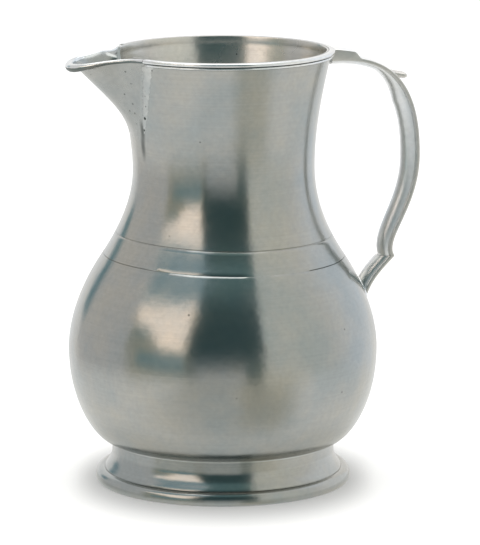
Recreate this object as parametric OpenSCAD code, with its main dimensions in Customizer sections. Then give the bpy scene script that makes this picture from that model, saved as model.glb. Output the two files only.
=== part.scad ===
// Open pear-shaped pewter jug: castings turned on a lathe, soldered at lapped seams,
// with a beaked spout, a flanged scroll handle and a moulded foot.
// Handle toward +X, spout toward -X, standing on z = 0, sizes in millimetres.

/* [Body] */
// Height of the rim above the table
height = 220; // [205:1:240]
// Thickness of the cast walls
wall = 2; // [1.6:0.1:2.6]
// Widest diameter of the belly
belly_d = 156.4; // [146:0.2:168]
// Height of the widest point, where the lower bowl meets the shoulder
belly_z = 68; // [62:1:74]
// Diameter of the body at the lower incised line, where the shoulder meets the neck
seam_d = 123.2; // [118:0.2:130]
// Height of the lower incised line
seam_z = 115.4; // [111:0.2:120]
// Inward lean of the wall at that seam, run over rise
seam_lean = 0.66; // [0.55:0.01:0.75]
// Narrowest diameter of the neck
neck_d = 92.8; // [88:0.2:100]
// Diameter of the neck just below the rim band
lip_d = 108.2; // [105:0.2:112]
// Outward lean of the neck at the rim, run over rise
lip_lean = 0.22; // [0.15:0.01:0.32]
// Height of the upper incised line above the lower one
line_rise = 11.1; // [8:0.1:15]
// Width of the incised lines
line_w = 1; // [0.6:0.1:1.4]
// Depth of the incised lines
line_depth = 0.45; // [0.2:0.05:0.7]

/* [Curves] */
// Share of the way from the lower incised line to the rim at which the neck is narrowest
neck_at = 0.4565; // [0.4:0.005:0.52]
// Share of the bowl's spread over which it runs out flat from the foot
bowl_flare = 0.434; // [0.3:0.01:0.6]
// Share of the bowl's height that it rises over that flat run
bowl_lift = 0.017; // [0.005:0.005:0.06]
// Share of the bowl's height over which it stands upright below the belly
bowl_swell = 0.553; // [0.4:0.01:0.7]
// Share of the shoulder's height over which it stands upright above the belly
shoulder_swell = 0.327; // [0.2:0.01:0.45]
// Share of the shoulder's height over which it holds its lean up to the seam
shoulder_pull = 0.327; // [0.2:0.01:0.45]
// Share of the waist's height over which it holds that lean above the seam
waist_pull = 0.347; // [0.25:0.01:0.45]
// Share of the waist's height over which it stands upright below the narrowest point
waist_swell = 0.347; // [0.25:0.01:0.45]
// Share of the throat's height over which it stands upright above the narrowest point
throat_swell = 0.364; // [0.25:0.01:0.5]
// Share of the throat's height over which it holds its lean up to the rim
lip_pull = 0.291; // [0.15:0.01:0.4]

/* [Joints] */
// Overlap of the lapped seams
lap_h = 4; // [3:0.5:5]
// Thickness of the solder film between two castings
solder_gap = 0.1; // [0.05:0.01:0.2]
// Leg of the solder fillets
fillet = 1.6; // [1:0.1:2.2]
// Leg of the thin solder fillets at the two ends of the handle
handle_fillet = 0.8; // [0.6:0.1:1.4]

/* [Foot] */
// Height of the joint between foot and bowl
foot_h = 21; // [18:0.5:24]
// Diameter of the bowl where it stands on the foot
bowl_foot_d = 114; // [110:0.5:118]
// Step in from the bowl to the top of the foot
foot_step = 0.6; // [0:0.1:2]
// Spread of the foot from its top to its widest edge
foot_spread = 8.4; // [7:0.2:10]
// How far the face that stands on the table lies in from that edge
foot_under = 1.2; // [0.6:0.1:2]
// Width of the face that stands on the table
foot_rest_w = 3.2; // [2.5:0.1:5]
// Height of the rounded edge of the foot
foot_edge_h = 6.9; // [6:0.1:8]
// Height of the widest point of that edge
foot_edge_z = 2; // [1.4:0.1:3]
// Width of the rounded edge, from the groove out
foot_ledge = 4.2; // [3.4:0.1:5]
// Width of the flat shelf above the groove
foot_shelf = 2; // [1.6:0.1:2.6]
// Height of the upright part of the foot, above its cove
foot_stem_h = 8.2; // [6:0.1:10]
// Thickness of the foot wall
foot_wall = 2.8; // [2.2:0.1:3.4]
// Height of the register that centres the foot under the bowl
register_h = 1.6; // [1:0.1:2.5]
// Width of that register
register_w = 2; // [1.5:0.1:3]
// Rise of the bottom of the bowl at its centre
floor_rise = 3; // [0:0.5:6]

/* [Rim band] */
// How far the upper bead of the rim band stands out from the neck
band_out = 2.4; // [1.8:0.1:3.2]
// Height of the upper bead
band_bead_h = 2.1; // [1.6:0.1:2.6]
// Height of the thin lower bead
band_line_h = 1.4; // [1:0.1:1.8]
// How far the lower bead stays behind the upper one
band_line_back = 0.5; // [0.3:0.1:0.8]
// Depth of the seat turned into the neck for the band
band_seat = 0.6; // [0.4:0.1:0.8]

/* [Spout] */
// Reach of the spout's lip from the axis, without its bead
spout_reach = 76.5; // [72:0.1:82]
// Drop of the tip of the spout below the rim
spout_drop = 4.6; // [3:0.1:8]
// Height of the spout from its lower end on the neck up to the rim
spout_h = 47; // [42:1:52]
// Half angle on the neck that the spout covers at the rim
spout_angle = 33.5; // [30:0.5:40]
// Half angle on the neck that the spout covers at its lower end
spout_low_angle = 17.5; // [13:0.5:22]
// Height over which the lower end of the spout rounds off
spout_round = 7; // [4:0.5:10]
// Wall of the spout
spout_wall = 1.8; // [1.4:0.1:2.2]
// Thickness of the spout's edge where it laps on to the neck
spout_edge = 0.4; // [0.3:0.1:0.8]
// Length over which the keel of the spout follows the neck
keel_swell = 16.3; // [12:0.1:21]
// Run of the straight part of the keel below the tip
keel_run = 13; // [10:0.5:16]
// Rise of that straight part
keel_climb = 14.8; // [12:0.1:18]
// Radius of the bead on the lip at the tip of the spout
tip_bead = 2.2; // [1.6:0.1:2.6]
// Half width of the round nose of the spout
nose = 20; // [16:0.5:23]
// How far the rim leaves the neck straight before it turns along the spout
spout_leave = 20; // [16:0.5:24]
// Width of the pouring notch in the neck at the rim
notch_w = 40; // [34:1:44]
// Radius of the lower end of the pouring notch
notch_r = 8; // [6:0.5:10]
// Depth of the pouring notch below the rim, to the centre of its lower end
notch_h = 32; // [26:1:36]

/* [Handle] */
// Reach of the back of the handle from the axis
handle_reach = 101.1; // [96:0.2:107]
// Height of the point that reaches furthest
handle_reach_z = 164; // [156:1:172]
// Drop of the handle's back below the rim where it leaves the neck
handle_drop = 5; // [4:0.2:7]
// Share of the handle's reach over which the top arm runs out before it bends down
arm_run = 0.753; // [0.6:0.01:0.85]
// Lift of the top arm over that run
arm_lift = 1.2; // [0:0.1:3]
// Share of the upper grip's height over which it bends down
grip_bend = 0.627; // [0.5:0.01:0.75]
// Share of the lower grip's height over which it stays upright
grip_swell = 0.529; // [0.4:0.01:0.65]
// Reach of the knuckle, where the grip meets the strut
knuckle_reach = 88.2; // [85:0.2:91]
// Height of the knuckle
knuckle_z = 112.3; // [109:0.1:115]
// Share of the lower grip's height over which it swings out to the knuckle
knuckle_rise = 0.18; // [0.14:0.01:0.26]
// How far the back swings in above the knuckle
knuckle_tuck = 5.7; // [4:0.1:7]
// Width of the flat back flange
handle_w = 13; // [11:0.2:15]
// Thickness of the flat back flange
flange_t = 1.9; // [1.5:0.1:2.3]
// Slope of the underside of the flange
flange_draft = 0.3; // [0.1:0.1:0.6]
// Crown of the back across its width
back_crown = 0.4; // [0:0.1:0.8]
// Width of the rounded belly under the flange
grip_w = 10.4; // [8.4:0.2:11]
// Depth of the top arm
arm_depth = 4; // [3.5:0.1:5]
// Depth of the grip at its fullest
grip_depth = 8.8; // [7.5:0.1:10]
// Depth of the lower grip
low_depth = 7.8; // [7:0.1:8.8]
// Depth of the grip at the knuckle
knuckle_depth = 6.6; // [6:0.1:7.4]
// Height of the block on the root of the handle
block_h = 4.1; // [3:0.1:4.8]
// How much lower the block is at its outer end
block_fall = 1.1; // [0:0.1:1.6]
// Length of the block
block_l = 10; // [7:0.5:13]
// Length of the slope at the outer end of the block
block_slope = 4; // [3:0.5:6]
// Depth of the strut below the knuckle
strut_depth = 6.3; // [5.5:0.1:7]
// Height of the strut from the shoulder up to the knuckle, along its back
strut_h = 20.3; // [17:0.1:24]
// Share of the strut's run over which it leaves the knuckle
strut_run = 0.373; // [0.25:0.01:0.5]
// Share of the strut's fall over that run
strut_fall = 0.325; // [0.25:0.01:0.45]
// Share of the strut's run over which its lower end comes in to the shoulder
strut_tuck = 0.18; // [0.1:0.01:0.3]
// Share of the strut's fall over which its lower end comes down
strut_drop = 0.443; // [0.35:0.01:0.55]

/* [Thumb spur] */
// Reach along the handle at which the spur stands, as a share of the upper grip
spur_at = 0.475; // [0.4:0.005:0.53]
// Length of the spur
spur_l = 6; // [5:0.2:8]
// Width of the spur at its root
spur_w = 9; // [7:0.2:11]
// Thickness of the spur at its root
spur_t = 3.4; // [2.6:0.1:4]
// Thickness of the spur near its tip
spur_tip_t = 2; // [1.6:0.1:2.4]
// Angle of the spur above the level
spur_tilt = 6; // [-5:1:20]

/* [Hidden] */
$fn = 96;
// Arcs in degrees: over the edge of the foot, over the lip of the spout, round the belly of the handle
edge_arc = [0, 85];
lip_arc = [-60, 105];
belly_arc = [0, 80];
pewter = "#a3a49f";
bright_pewter = "#b2b2ac";
solder = "#bfc0ba";
belly_r = belly_d / 2;
seam_r = seam_d / 2;
neck_r = neck_d / 2;
lip_r = lip_d / 2;
bowl_foot_r = bowl_foot_d / 2;
foot_top_r = bowl_foot_r - foot_step;
foot_r = foot_top_r + foot_spread;
foot_base_r = foot_r - foot_under;
band_r = lip_r + band_out;
line_z = seam_z + line_rise;
strut_z = knuckle_z - strut_h;
band_h = band_bead_h + band_line_h + solder_gap;
lip_z = height - band_h;
seat_r = lip_r - band_seat;
foot_bore_r = foot_top_r - foot_wall;
register_r = foot_bore_r - solder_gap;
floor_r = register_r - register_w;
tip_z = height - spout_drop;
spout_low = height - spout_h;
notch_z = height - notch_h;
root_z = height - handle_drop;
root_r = band_r + solder_gap;

// Point of a cubic curve: ends p[0] and p[3], pulled toward p[1] and p[2], at share u
function curve(p, u) = pow(1 - u, 3) * p[0] + 3 * u * pow(1 - u, 2) * p[1]
    + 3 * u * u * (1 - u) * p[2] + pow(u, 3) * p[3];
// Direction of that curve
function heading(p, u) = 3 * pow(1 - u, 2) * (p[1] - p[0]) + 6 * u * (1 - u) * (p[2] - p[1])
    + 3 * u * u * (p[3] - p[2]);
function unit(v) = v / norm(v);
function mix(a, b, u) = a + (b - a) * u;
// Equal shares from a to b in n steps
function shares(n, a = 0, b = 1) = [for (i = [0:n]) mix(a, b, i / n)];
// Point of a rising wall curve, set back from its outer face
function set_back(p, u, depth) = let (d = unit(heading(p, u))) curve(p, u) - depth * [d[1], -d[0]];
// Share of a rising wall curve at height z
function share_at(p, z, low = 0, high = 1, steps = 24) = let (m = (low + high) / 2)
    steps == 0 ? m
    : curve(p, m)[1] < z ? share_at(p, z, m, high, steps - 1)
    : share_at(p, z, low, m, steps - 1);
// Points of a round bead, bulging away from the axis
function bead(centre, radius, steps) = [for (a = shares(steps, -90, 90))
    centre + radius * [cos(a), sin(a)]];

// Outer wall of the body in four curves from the foot to the rim
bowl_h = belly_z - foot_h;
shoulder_h = seam_z - belly_z;
neck_z = mix(seam_z, lip_z, neck_at);
waist_h = neck_z - seam_z;
throat_h = lip_z - neck_z;
bowl_wall = [[bowl_foot_r, foot_h],
    [mix(bowl_foot_r, belly_r, bowl_flare), foot_h + bowl_lift * bowl_h],
    [belly_r, belly_z - bowl_swell * bowl_h], [belly_r, belly_z]];
shoulder_wall = [[belly_r, belly_z], [belly_r, belly_z + shoulder_swell * shoulder_h],
    [seam_r, seam_z] + shoulder_pull * shoulder_h * [seam_lean, -1], [seam_r, seam_z]];
waist_wall = [[seam_r, seam_z], [seam_r, seam_z] + waist_pull * waist_h * [-seam_lean, 1],
    [neck_r, neck_z - waist_swell * waist_h], [neck_r, neck_z]];
throat_wall = [[neck_r, neck_z], [neck_r, neck_z + throat_swell * throat_h],
    [lip_r, lip_z] + lip_pull * throat_h * [-lip_lean, -1], [lip_r, lip_z]];
body_walls = [bowl_wall, shoulder_wall, waist_wall, throat_wall];
body_outline = [for (p = body_walls) for (u = shares(14)) let (q = curve(p, u)) [q[1], q[0]]];

// Radius of the body's outer wall at height z
function body_r(z) = lookup(z, body_outline);
// Solid core of the body from the belly up, grown by a clearance
module body_core(clear) rotate_extrude() polygon(concat(
    [[0, belly_z]], [for (q = body_outline) if (q[0] >= belly_z) [q[1] + clear, q[0]]], [[0, lip_z]]));

// Closed skin over rings of equal length that turn the same way. Each end is laced across the ring,
// from point i to its partner counted from the other end of the list
module skin(rings) {
    n = len(rings[0]);
    last = (len(rings) - 1) * n;
    sides = [for (k = [0:len(rings) - 2]) for (i = [0:n - 1]) let (j = (i + 1) % n)
        each [[k * n + i, k * n + j, (k + 1) * n + j], [k * n + i, (k + 1) * n + j, (k + 1) * n + i]]];
    lace = [for (i = [0:n / 2 - 2]) let (j = n - 1 - i)
        each (i == n / 2 - 2 ? [[i, i + 1, j - 1], [i, j - 1, j]] : [[i, i + 1, j], [i + 1, j - 1, j]])];
    ends = [for (f = lace) each [[f[2], f[1], f[0]], [last + f[0], last + f[1], last + f[2]]]];
    polyhedron(points = [for (ring = rings) each ring], faces = concat(sides, ends));
}

// Skin whose last ring joins its first
module closed_skin(rings) {
    n = len(rings[0]);
    m = len(rings);
    sides = [for (k = [0:m - 1]) for (i = [0:n - 1]) let (j = (i + 1) % n, l = (k + 1) % m)
        each [[k * n + i, k * n + j, l * n + j], [k * n + i, l * n + j, l * n + i]]];
    polyhedron(points = [for (ring = rings) each ring], faces = sides);
}

// Foot

foot_edge_r = foot_r - foot_ledge;
foot_shelf_r = foot_edge_r - foot_shelf;
foot_shelf_z = foot_edge_h + foot_shelf / 4;
foot_stem_z = foot_h - foot_stem_h;
cove_w = foot_shelf_r - foot_top_r;
cove_h = foot_stem_z - foot_shelf_z;
foot_cove = [[foot_shelf_r, foot_shelf_z], [foot_shelf_r - cove_w / 2, foot_shelf_z + cove_h / 3],
    [foot_top_r + cove_w / 10, foot_stem_z - cove_h / 3], [foot_top_r, foot_stem_z]];

module foot_ring() color(pewter) rotate_extrude() polygon(concat(
    [for (a = shares(2, -90, -30)) [foot_base_r + foot_under * cos(a), foot_edge_z * (1 + sin(a))]],
    [for (a = shares(7, edge_arc[0], edge_arc[1])) [foot_edge_r, foot_edge_z]
        + [foot_ledge * cos(a), (foot_edge_h - foot_edge_z) * sin(a)]],
    [[foot_edge_r - line_w / 4, foot_edge_h - line_depth], [foot_edge_r - line_w, foot_edge_h]],
    [for (u = shares(7)) curve(foot_cove, u)],
    [[foot_top_r, foot_h], [foot_bore_r, foot_h]],
    [for (u = shares(5, 1, 0)) set_back(foot_cove, u, foot_wall)],
    [[foot_base_r - foot_rest_w, 0]]));

// Solder run into the corner below the register
module foot_solder() color(solder) rotate_extrude() polygon([
    [foot_bore_r, foot_h - register_h], [register_r - fillet, foot_h - register_h],
    [foot_bore_r, foot_h - register_h - fillet]]);

// Body

function floor_z(r) = foot_h + floor_rise * (1 - pow(r / floor_r, 2));
tongue_r = belly_r - wall / 2;
pocket_r = tongue_r + solder_gap;
lap_share = share_at(shoulder_wall, seam_z - lap_h);
line_share = line_w / 2 / shoulder_h;

module lower_bowl() color(pewter) rotate_extrude() polygon(concat(
    [for (u = shares(14)) curve(bowl_wall, u)],
    [[tongue_r, belly_z], [tongue_r, belly_z + lap_h], [belly_r - wall, belly_z + lap_h]],
    [for (u = shares(14, 1, 0)) set_back(bowl_wall, u, wall)],
    [for (r = shares(5, floor_r, 0)) [r, floor_z(r) + wall]],
    [for (r = shares(5, 0, floor_r)) [r, floor_z(r)]],
    [[floor_r, foot_h - register_h], [register_r, foot_h - register_h], [register_r, foot_h]]));

module shoulder() color(pewter) rotate_extrude() polygon(concat(
    [for (u = shares(13, 0, 1 - line_share)) curve(shoulder_wall, u)],
    [set_back(shoulder_wall, 1, line_depth)],
    [for (u = shares(2, 1, lap_share)) set_back(shoulder_wall, u, wall / 2)],
    [for (u = shares(12, lap_share, share_at(shoulder_wall, belly_z + lap_h + fillet)))
        set_back(shoulder_wall, u, wall)],
    [[belly_r - wall, belly_z + lap_h + solder_gap],
     [pocket_r, belly_z + lap_h + solder_gap], [pocket_r, belly_z]]));

// Solder drawn along the inside of the belly seam
module belly_solder() color(solder) rotate_extrude() polygon([
    [belly_r - wall, belly_z + lap_h - fillet / 2],
    [belly_r - wall, belly_z + lap_h + solder_gap],
    [belly_r - wall - fillet / 2, belly_z + lap_h],
    [belly_r - wall - fillet / 3, belly_z + lap_h - fillet / 3]]);

line_at = share_at(waist_wall, line_z);
line_half = line_w / 2 / waist_h;
tongue_share = share_at(shoulder_wall, seam_z - lap_h + solder_gap);

module neck_turning() rotate_extrude() polygon(concat(
    [set_back(waist_wall, 0, line_depth)],
    [for (u = shares(3, line_half, line_at - line_half)) curve(waist_wall, u)],
    [set_back(waist_wall, line_at, line_depth)],
    [for (u = shares(10, line_at + line_half, 1)) curve(waist_wall, u)],
    [for (u = shares(12, 1 / 12, 1)) curve(throat_wall, u)],
    [[seat_r, lip_z], [seat_r, height - line_depth], [seat_r - line_depth, height],
     [lip_r - wall + line_depth, height], [lip_r - wall, height - line_depth]],
    [for (u = shares(12, 1, 0)) set_back(throat_wall, u, wall)],
    [for (u = shares(13, 12 / 13, 0)) set_back(waist_wall, u, wall)],
    [for (u = shares(2, 1, tongue_share)) set_back(shoulder_wall, u, wall)],
    [for (u = shares(2, tongue_share, 1)) set_back(shoulder_wall, u, wall / 2 + solder_gap)]));

// Pouring notch through the spout side of the neck
module notch() translate([-spout_reach, 0, 0]) rotate([90, 0, 90]) linear_extrude(spout_reach) {
    polygon([[-notch_r, notch_z], [notch_r, notch_z],
        [notch_w / 2, height + 1], [-notch_w / 2, height + 1]]);
    translate([0, notch_z]) circle(notch_r);
}

module neck() color(pewter) difference() {
    neck_turning();
    notch();
}

// Solder drawn along the inside of the neck seam
module neck_solder() color(solder) rotate_extrude() polygon([
    set_back(shoulder_wall, tongue_share, wall),
    set_back(shoulder_wall, share_at(shoulder_wall, seam_z - lap_h - fillet), wall + solder_gap / 2),
    set_back(shoulder_wall, tongue_share, wall + fillet / 2)]);

// Rim band, cut away where the spout takes the rim over
line_bead = [band_r - band_line_back - band_line_h / 2, lip_z + solder_gap + band_line_h / 2];
top_bead = [band_r - band_bead_h / 2, height - band_bead_h / 2];

module rim_band() color(bright_pewter) rotate([0, 0, spout_angle + solder_gap - 180])
    rotate_extrude(angle = 360 - 2 * (spout_angle + solder_gap), start = 0) polygon(concat(
        [[seat_r + solder_gap, lip_z + solder_gap]],
        bead(line_bead, band_line_h / 2, 6),
        bead(top_bead, band_bead_h / 2, 8),
        [[seat_r + solder_gap, height]]));

// Spout

keel_low = body_r(spout_low) + solder_gap + spout_edge;
keel = [[keel_low, spout_low], [keel_low, spout_low + keel_swell],
    [spout_reach - keel_run, tip_z - keel_climb], [spout_reach, tip_z]];

// Height on the neck of the section that reaches the keel at share k
function skirt_z(k) = mix(spout_low, height, (curve(keel, k)[1] - spout_low) / (tip_z - spout_low));
// Half angle on the neck at height z, rounded off at the lower end
function skirt_angle(z) = let (near = min(1, (z - spout_low) / spout_round))
    mix(spout_low_angle, spout_angle, (z - spout_low) / (height - spout_low))
    * max(0.3, sqrt(1 - pow(1 - near, 2)));
// Half section of the spout from the keel to the neck
function half_section(k) = let (q = curve(keel, k), z = skirt_z(k), a = skirt_angle(z),
    r = body_r(z) + solder_gap + spout_edge, arc = r * a * PI / 180,
    part = (z - spout_low) / (height - spout_low),
    start = [-r * cos(a), r * sin(a), z])
    [[-q[0], 0, q[1]],
     [-q[0], mix(arc / 3, nose, part), q[1]],
     start - mix(arc / 3, spout_leave, part) * [sin(a), cos(a), 0],
     start];
// Point of the spout's outer face: u from -1 to 1 across it, k from the neck up to the lip
function spout_point(u, k) = let (q = curve(half_section(k), abs(u))) [q[0], u < 0 ? -q[1] : q[1], q[2]];
step = 0.01;
function spout_normal(u, k) = let (low = max(0, k - step), high = min(1, k + step),
    left = max(-1, u - step), right = min(1, u + step))
    unit(cross(spout_point(u, high) - spout_point(u, low), spout_point(right, k) - spout_point(left, k)));
// A point kept outside the neck
function off_neck(q) = let (r = norm([q[0], q[1]]), face = body_r(q[2]) + solder_gap)
    r < face ? [q[0] * face / r, q[1] * face / r, q[2]] : q;
// Point of the inner face, never lower than its partner on the outer face
function inner_point(u, k) = let (p = spout_point(u, k), q = p - spout_wall * spout_normal(u, k))
    off_neck([q[0], q[1], max(q[2], p[2])]);

lip_bead = band_bead_h / 2;
// Stations up the spout, closer together at its rounded lower end
climb_share = 0.92;
climb = [for (u = shares(13)) climb_share * pow(u, 2)];
fall = [for (i = [len(climb) - 1:-1:0]) climb[i]];
// Radius of the bead at share u, swelling toward the tip
function bead_r(u) = mix(tip_bead, lip_bead, (1 - cos(180 * min(1, 1.6 * abs(u)))) / 2);
// Ring round the wall of the spout at share u: up the outer face, over the bead, down the inner face
function spout_ring(u) = let (top = spout_point(u, 1), n = spout_normal(u, 1), out = unit([n[0], n[1], 0]),
    b = bead_r(u), centre = top + [0, 0, -b] + 0.3 * b * out)
    concat([for (k = climb) spout_point(u, k)],
        [for (a = shares(6, lip_arc[0], lip_arc[1])) centre + b * (cos(a) * out + [0, 0, sin(a)])],
        [off_neck(top + [0, 0, -b / 2] - (spout_wall - b / 2) * out)],
        [for (k = fall) inner_point(u, k)]);

module spout() color(bright_pewter) skin([for (u = shares(34, 1, -1)) spout_ring(u)]);

// Solder drawn down one side of the spout, round its lower end and up the other side
function skirt_at(k) = let (z = skirt_z(k)) [z, skirt_angle(z)];
skirt = [for (k = climb) skirt_at(k)];
skirt_path = concat([for (i = [len(skirt) - 1:-1:0]) skirt[i]],
    [for (v = shares(2, 0.5, -0.5)) [spout_low, skirt[0][1] * v]],
    [for (q = skirt) [q[0], -q[1]]]);
function on_neck(a, z, proud) = let (r = body_r(z) + proud) [-r * cos(a), r * sin(a), z];
function solder_ring(i) = let (p = skirt_path[i], r = body_r(p[0]),
    next = skirt_path[min(len(skirt_path) - 1, i + 1)], back = skirt_path[max(0, i - 1)],
    run = unit([(next[1] - back[1]) * r * PI / 180, next[0] - back[0]]),
    away = [-run[1], run[0]],
    at = function (out, proud) on_neck(p[1] + away[0] * out / r * 180 / PI, p[0] + away[1] * out, proud))
    [at(solder_gap, solder_gap), at(solder_gap + fillet, solder_gap),
     at(solder_gap + fillet / 3, solder_gap + spout_edge / 2), at(solder_gap, solder_gap + spout_edge)];

module spout_solder() color(solder) skin([for (i = [0:len(skirt_path) - 1]) solder_ring(i)]);

// Handle

upper_h = root_z - handle_reach_z;
lower_h = handle_reach_z - knuckle_z;
upper_back = [[root_r, root_z], [mix(root_r, handle_reach, arm_run), root_z + arm_lift],
    [handle_reach, handle_reach_z + grip_bend * upper_h], [handle_reach, handle_reach_z]];
lower_back = [[handle_reach, handle_reach_z], [handle_reach, handle_reach_z - grip_swell * lower_h],
    [knuckle_reach - knuckle_tuck, knuckle_z + knuckle_rise * lower_h], [knuckle_reach, knuckle_z]];
knuckle = lower_back[3];
strut_end = [body_r(strut_z), strut_z];
strut_span = knuckle - strut_end;
strut_back = [knuckle, knuckle - [strut_run * strut_span[0], strut_fall * strut_span[1]],
    strut_end + [strut_tuck * strut_span[0], strut_drop * strut_span[1]], strut_end];

// Ring of the handle's section: flat flange on the back, rounded belly inside, grown all round by extra.
// It runs down the right half and up the left one
function handle_ring(at, heading, depth, rise = 0, extra = 0, wide = grip_w) = let (
    d = unit(heading), n = [-d[1], d[0]],
    half = handle_w / 2 + extra, low = -flange_t - extra, belly = wide / 2 + extra,
    right = concat(
        [for (v = [1 / 3, 1]) [rise + extra + back_crown * (1 - v * v), half * v]],
        [[low + flange_draft, half]],
        [for (a = shares(4, belly_arc[0], belly_arc[1]))
            [low - (depth - flange_t) * sin(a), belly * cos(a)]]),
    left = [for (i = [len(right) - 1:-1:0]) [right[i][0], -right[i][1]]])
    [for (q = concat(right, left)) [at[0] + n[0] * q[0], q[1], at[1] + n[1] * q[0]]];

// Depth of the upper and the lower grip along their length
function upper_depth(u) = lookup(u,
    [[0, arm_depth], [0.3, arm_depth], [0.62, grip_depth], [1, grip_depth]]);
function lower_depth(u) = lookup(u, [[0, grip_depth], [0.5, low_depth], [1, knuckle_depth]]);
// Width of the belly under the upper grip, as wide as the flange at the root
root_w = handle_w - flange_draft;
function upper_w(u) = lookup(u, [[0, root_w], [0.12, root_w], [0.4, grip_w]]);
// Rise of the block above the back at distance x from the root
function block_rise(x) = lookup(x,
    [[0, block_h], [block_l, block_h - block_fall], [block_l + block_slope, 0]]);
// The lower end is cut level on the knuckle
function to_level(ring, d, z) = [for (q = ring) let (s = (z - q[2]) / d[1]) q + s * [d[0], 0, d[1]]];
// A point carried along d on to the shoulder, with some clearance
function reach_body(q, d, clear, low = -strut_span[1], high = strut_span[1], steps = 26) = let (
    m = (low + high) / 2, p = q + m * [d[0], 0, d[1]])
    steps == 0 ? p
    : norm([p[0], p[1]]) > body_r(p[2]) + clear ? reach_body(q, d, clear, m, high, steps - 1)
    : reach_body(q, d, clear, low, m, steps - 1);

upper_shares = concat(shares(7, 0, 0.19), shares(14, 0.23, 1));
root_sink = root_r - sqrt(pow(root_r, 2) - pow(handle_w, 2));
knuckle_heading = unit(heading(lower_back, 1));
grip_rings = concat(
    [handle_ring(upper_back[0] - [root_sink, 0], [1, 0], arm_depth, block_h, 0, root_w)],
    [for (i = [1:len(upper_shares) - 1]) let (u = upper_shares[i], at = curve(upper_back, u))
        handle_ring(at, heading(upper_back, u), upper_depth(u), block_rise(at[0] - root_r),
            0, upper_w(u))],
    [for (u = shares(11, 1 / 12, 11 / 12))
        handle_ring(curve(lower_back, u), heading(lower_back, u), lower_depth(u))],
    [to_level(handle_ring(knuckle, knuckle_heading, knuckle_depth), knuckle_heading, knuckle_z)]);

// The root is hollowed to sit round the rim band
module handle_grip() color(pewter) difference() {
    skin(grip_rings);
    cylinder(r = root_r, h = height * 2);
}

strut_last_share = 0.8;
strut_tail = unit(heading(strut_back, strut_last_share));
strut_head = unit(heading(strut_back, 0));
function strut_ring(u, extra = 0) =
    handle_ring(curve(strut_back, u), heading(strut_back, u), strut_depth, 0, extra);
function strut_foot(extra, clear) =
    [for (q = strut_ring(strut_last_share, extra)) reach_body(q, strut_tail, clear)];
strut_rings = concat(
    [to_level(strut_ring(0), strut_head, knuckle_z - solder_gap)],
    [for (u = shares(6, 0.25, strut_last_share)) strut_ring(u)],
    [[for (q = strut_foot(0, solder_gap)) q + wall / 2 * [strut_tail[0], 0, strut_tail[1]]]]);

// The foot of the strut is hollowed to the shoulder
module handle_strut() color(pewter) difference() {
    skin(strut_rings);
    body_core(solder_gap);
}

// Solder collar round the foot of the strut, clear of the strut and the shoulder
module handle_strut_solder() {
    seat = strut_foot(solder_gap, 2 * solder_gap);
    spread = strut_foot(handle_fillet, 2 * solder_gap);
    climb = [for (q = seat) q - (handle_fillet + solder_gap) * [strut_tail[0], 0, strut_tail[1]]];
    color(solder) difference() {
        closed_skin([for (i = [0:len(seat) - 1]) [seat[i], spread[i], climb[i]]]);
        body_core(solder_gap / 2);
        skin([for (u = shares(6, 0.25, strut_last_share)) strut_ring(u, solder_gap / 2)]);
    }
}

// Solder that fills the space under the rim band behind the handle's root
module handle_root_solder() color(solder) rotate([0, 0, -asin(grip_w / 2 / root_r)])
    rotate_extrude(angle = 2 * asin(grip_w / 2 / root_r), start = 0) polygon(concat(
        [for (z = shares(8, root_z - arm_depth - handle_fillet / 2, lip_z)) [body_r(z) + solder_gap, z]],
        [[band_r, lip_z], [band_r, root_z - arm_depth]]));

// Thumb spur, a small leaf on the bend of the handle, hollowed to the handle's back
spur_foot = curve(upper_back, spur_at);

module spur_blank() translate([spur_foot[0], 0, spur_foot[1]]) rotate([0, -spur_tilt, 0]) intersection() {
    rotate([90, 0, 0]) linear_extrude(spur_w, center = true) {
        polygon([[-spur_t, -spur_t / 2], [spur_l - spur_tip_t / 2, -spur_tip_t / 2],
            [spur_l - spur_tip_t / 2, spur_tip_t / 2], [-spur_t, spur_t / 2]]);
        translate([spur_l - spur_tip_t / 2, 0]) circle(spur_tip_t / 2);
    }
    translate([0, 0, -spur_t]) linear_extrude(2 * spur_t) {
        translate([-spur_t, -spur_w / 2]) square([spur_t + spur_l - spur_w / 2, spur_w]);
        translate([spur_l - spur_w / 2, 0]) circle(spur_w / 2);
    }
}

// Ring of a plain bar below the middle of the flange, wider than the spur
function under_ring(u) = let (at = curve(upper_back, u), d = unit(heading(upper_back, u)), n = [-d[1], d[0]],
    half = spur_w / 2 + flange_t, top = -flange_t / 2, low = top - 2 * spur_t)
    [for (q = [[top, half], [low, half], [low, -half], [top, -half]])
        [at[0] + n[0] * q[0], q[1], at[1] + n[1] * q[0]]];

module thumb_spur() color(bright_pewter) difference() {
    spur_blank();
    skin([for (u = shares(10, spur_at - 0.2, spur_at + 0.2)) under_ring(u)]);
    skin([for (u = shares(10, spur_at - 0.2, spur_at + 0.2))
        handle_ring(curve(upper_back, u), heading(upper_back, u), upper_depth(u), 0, solder_gap)]);
}

foot_ring();
lower_bowl();
shoulder();
neck();
rim_band();
spout();
handle_grip();
handle_strut();
thumb_spur();
foot_solder();
belly_solder();
neck_solder();
spout_solder();
handle_root_solder();
handle_strut_solder();
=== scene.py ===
import math

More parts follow.
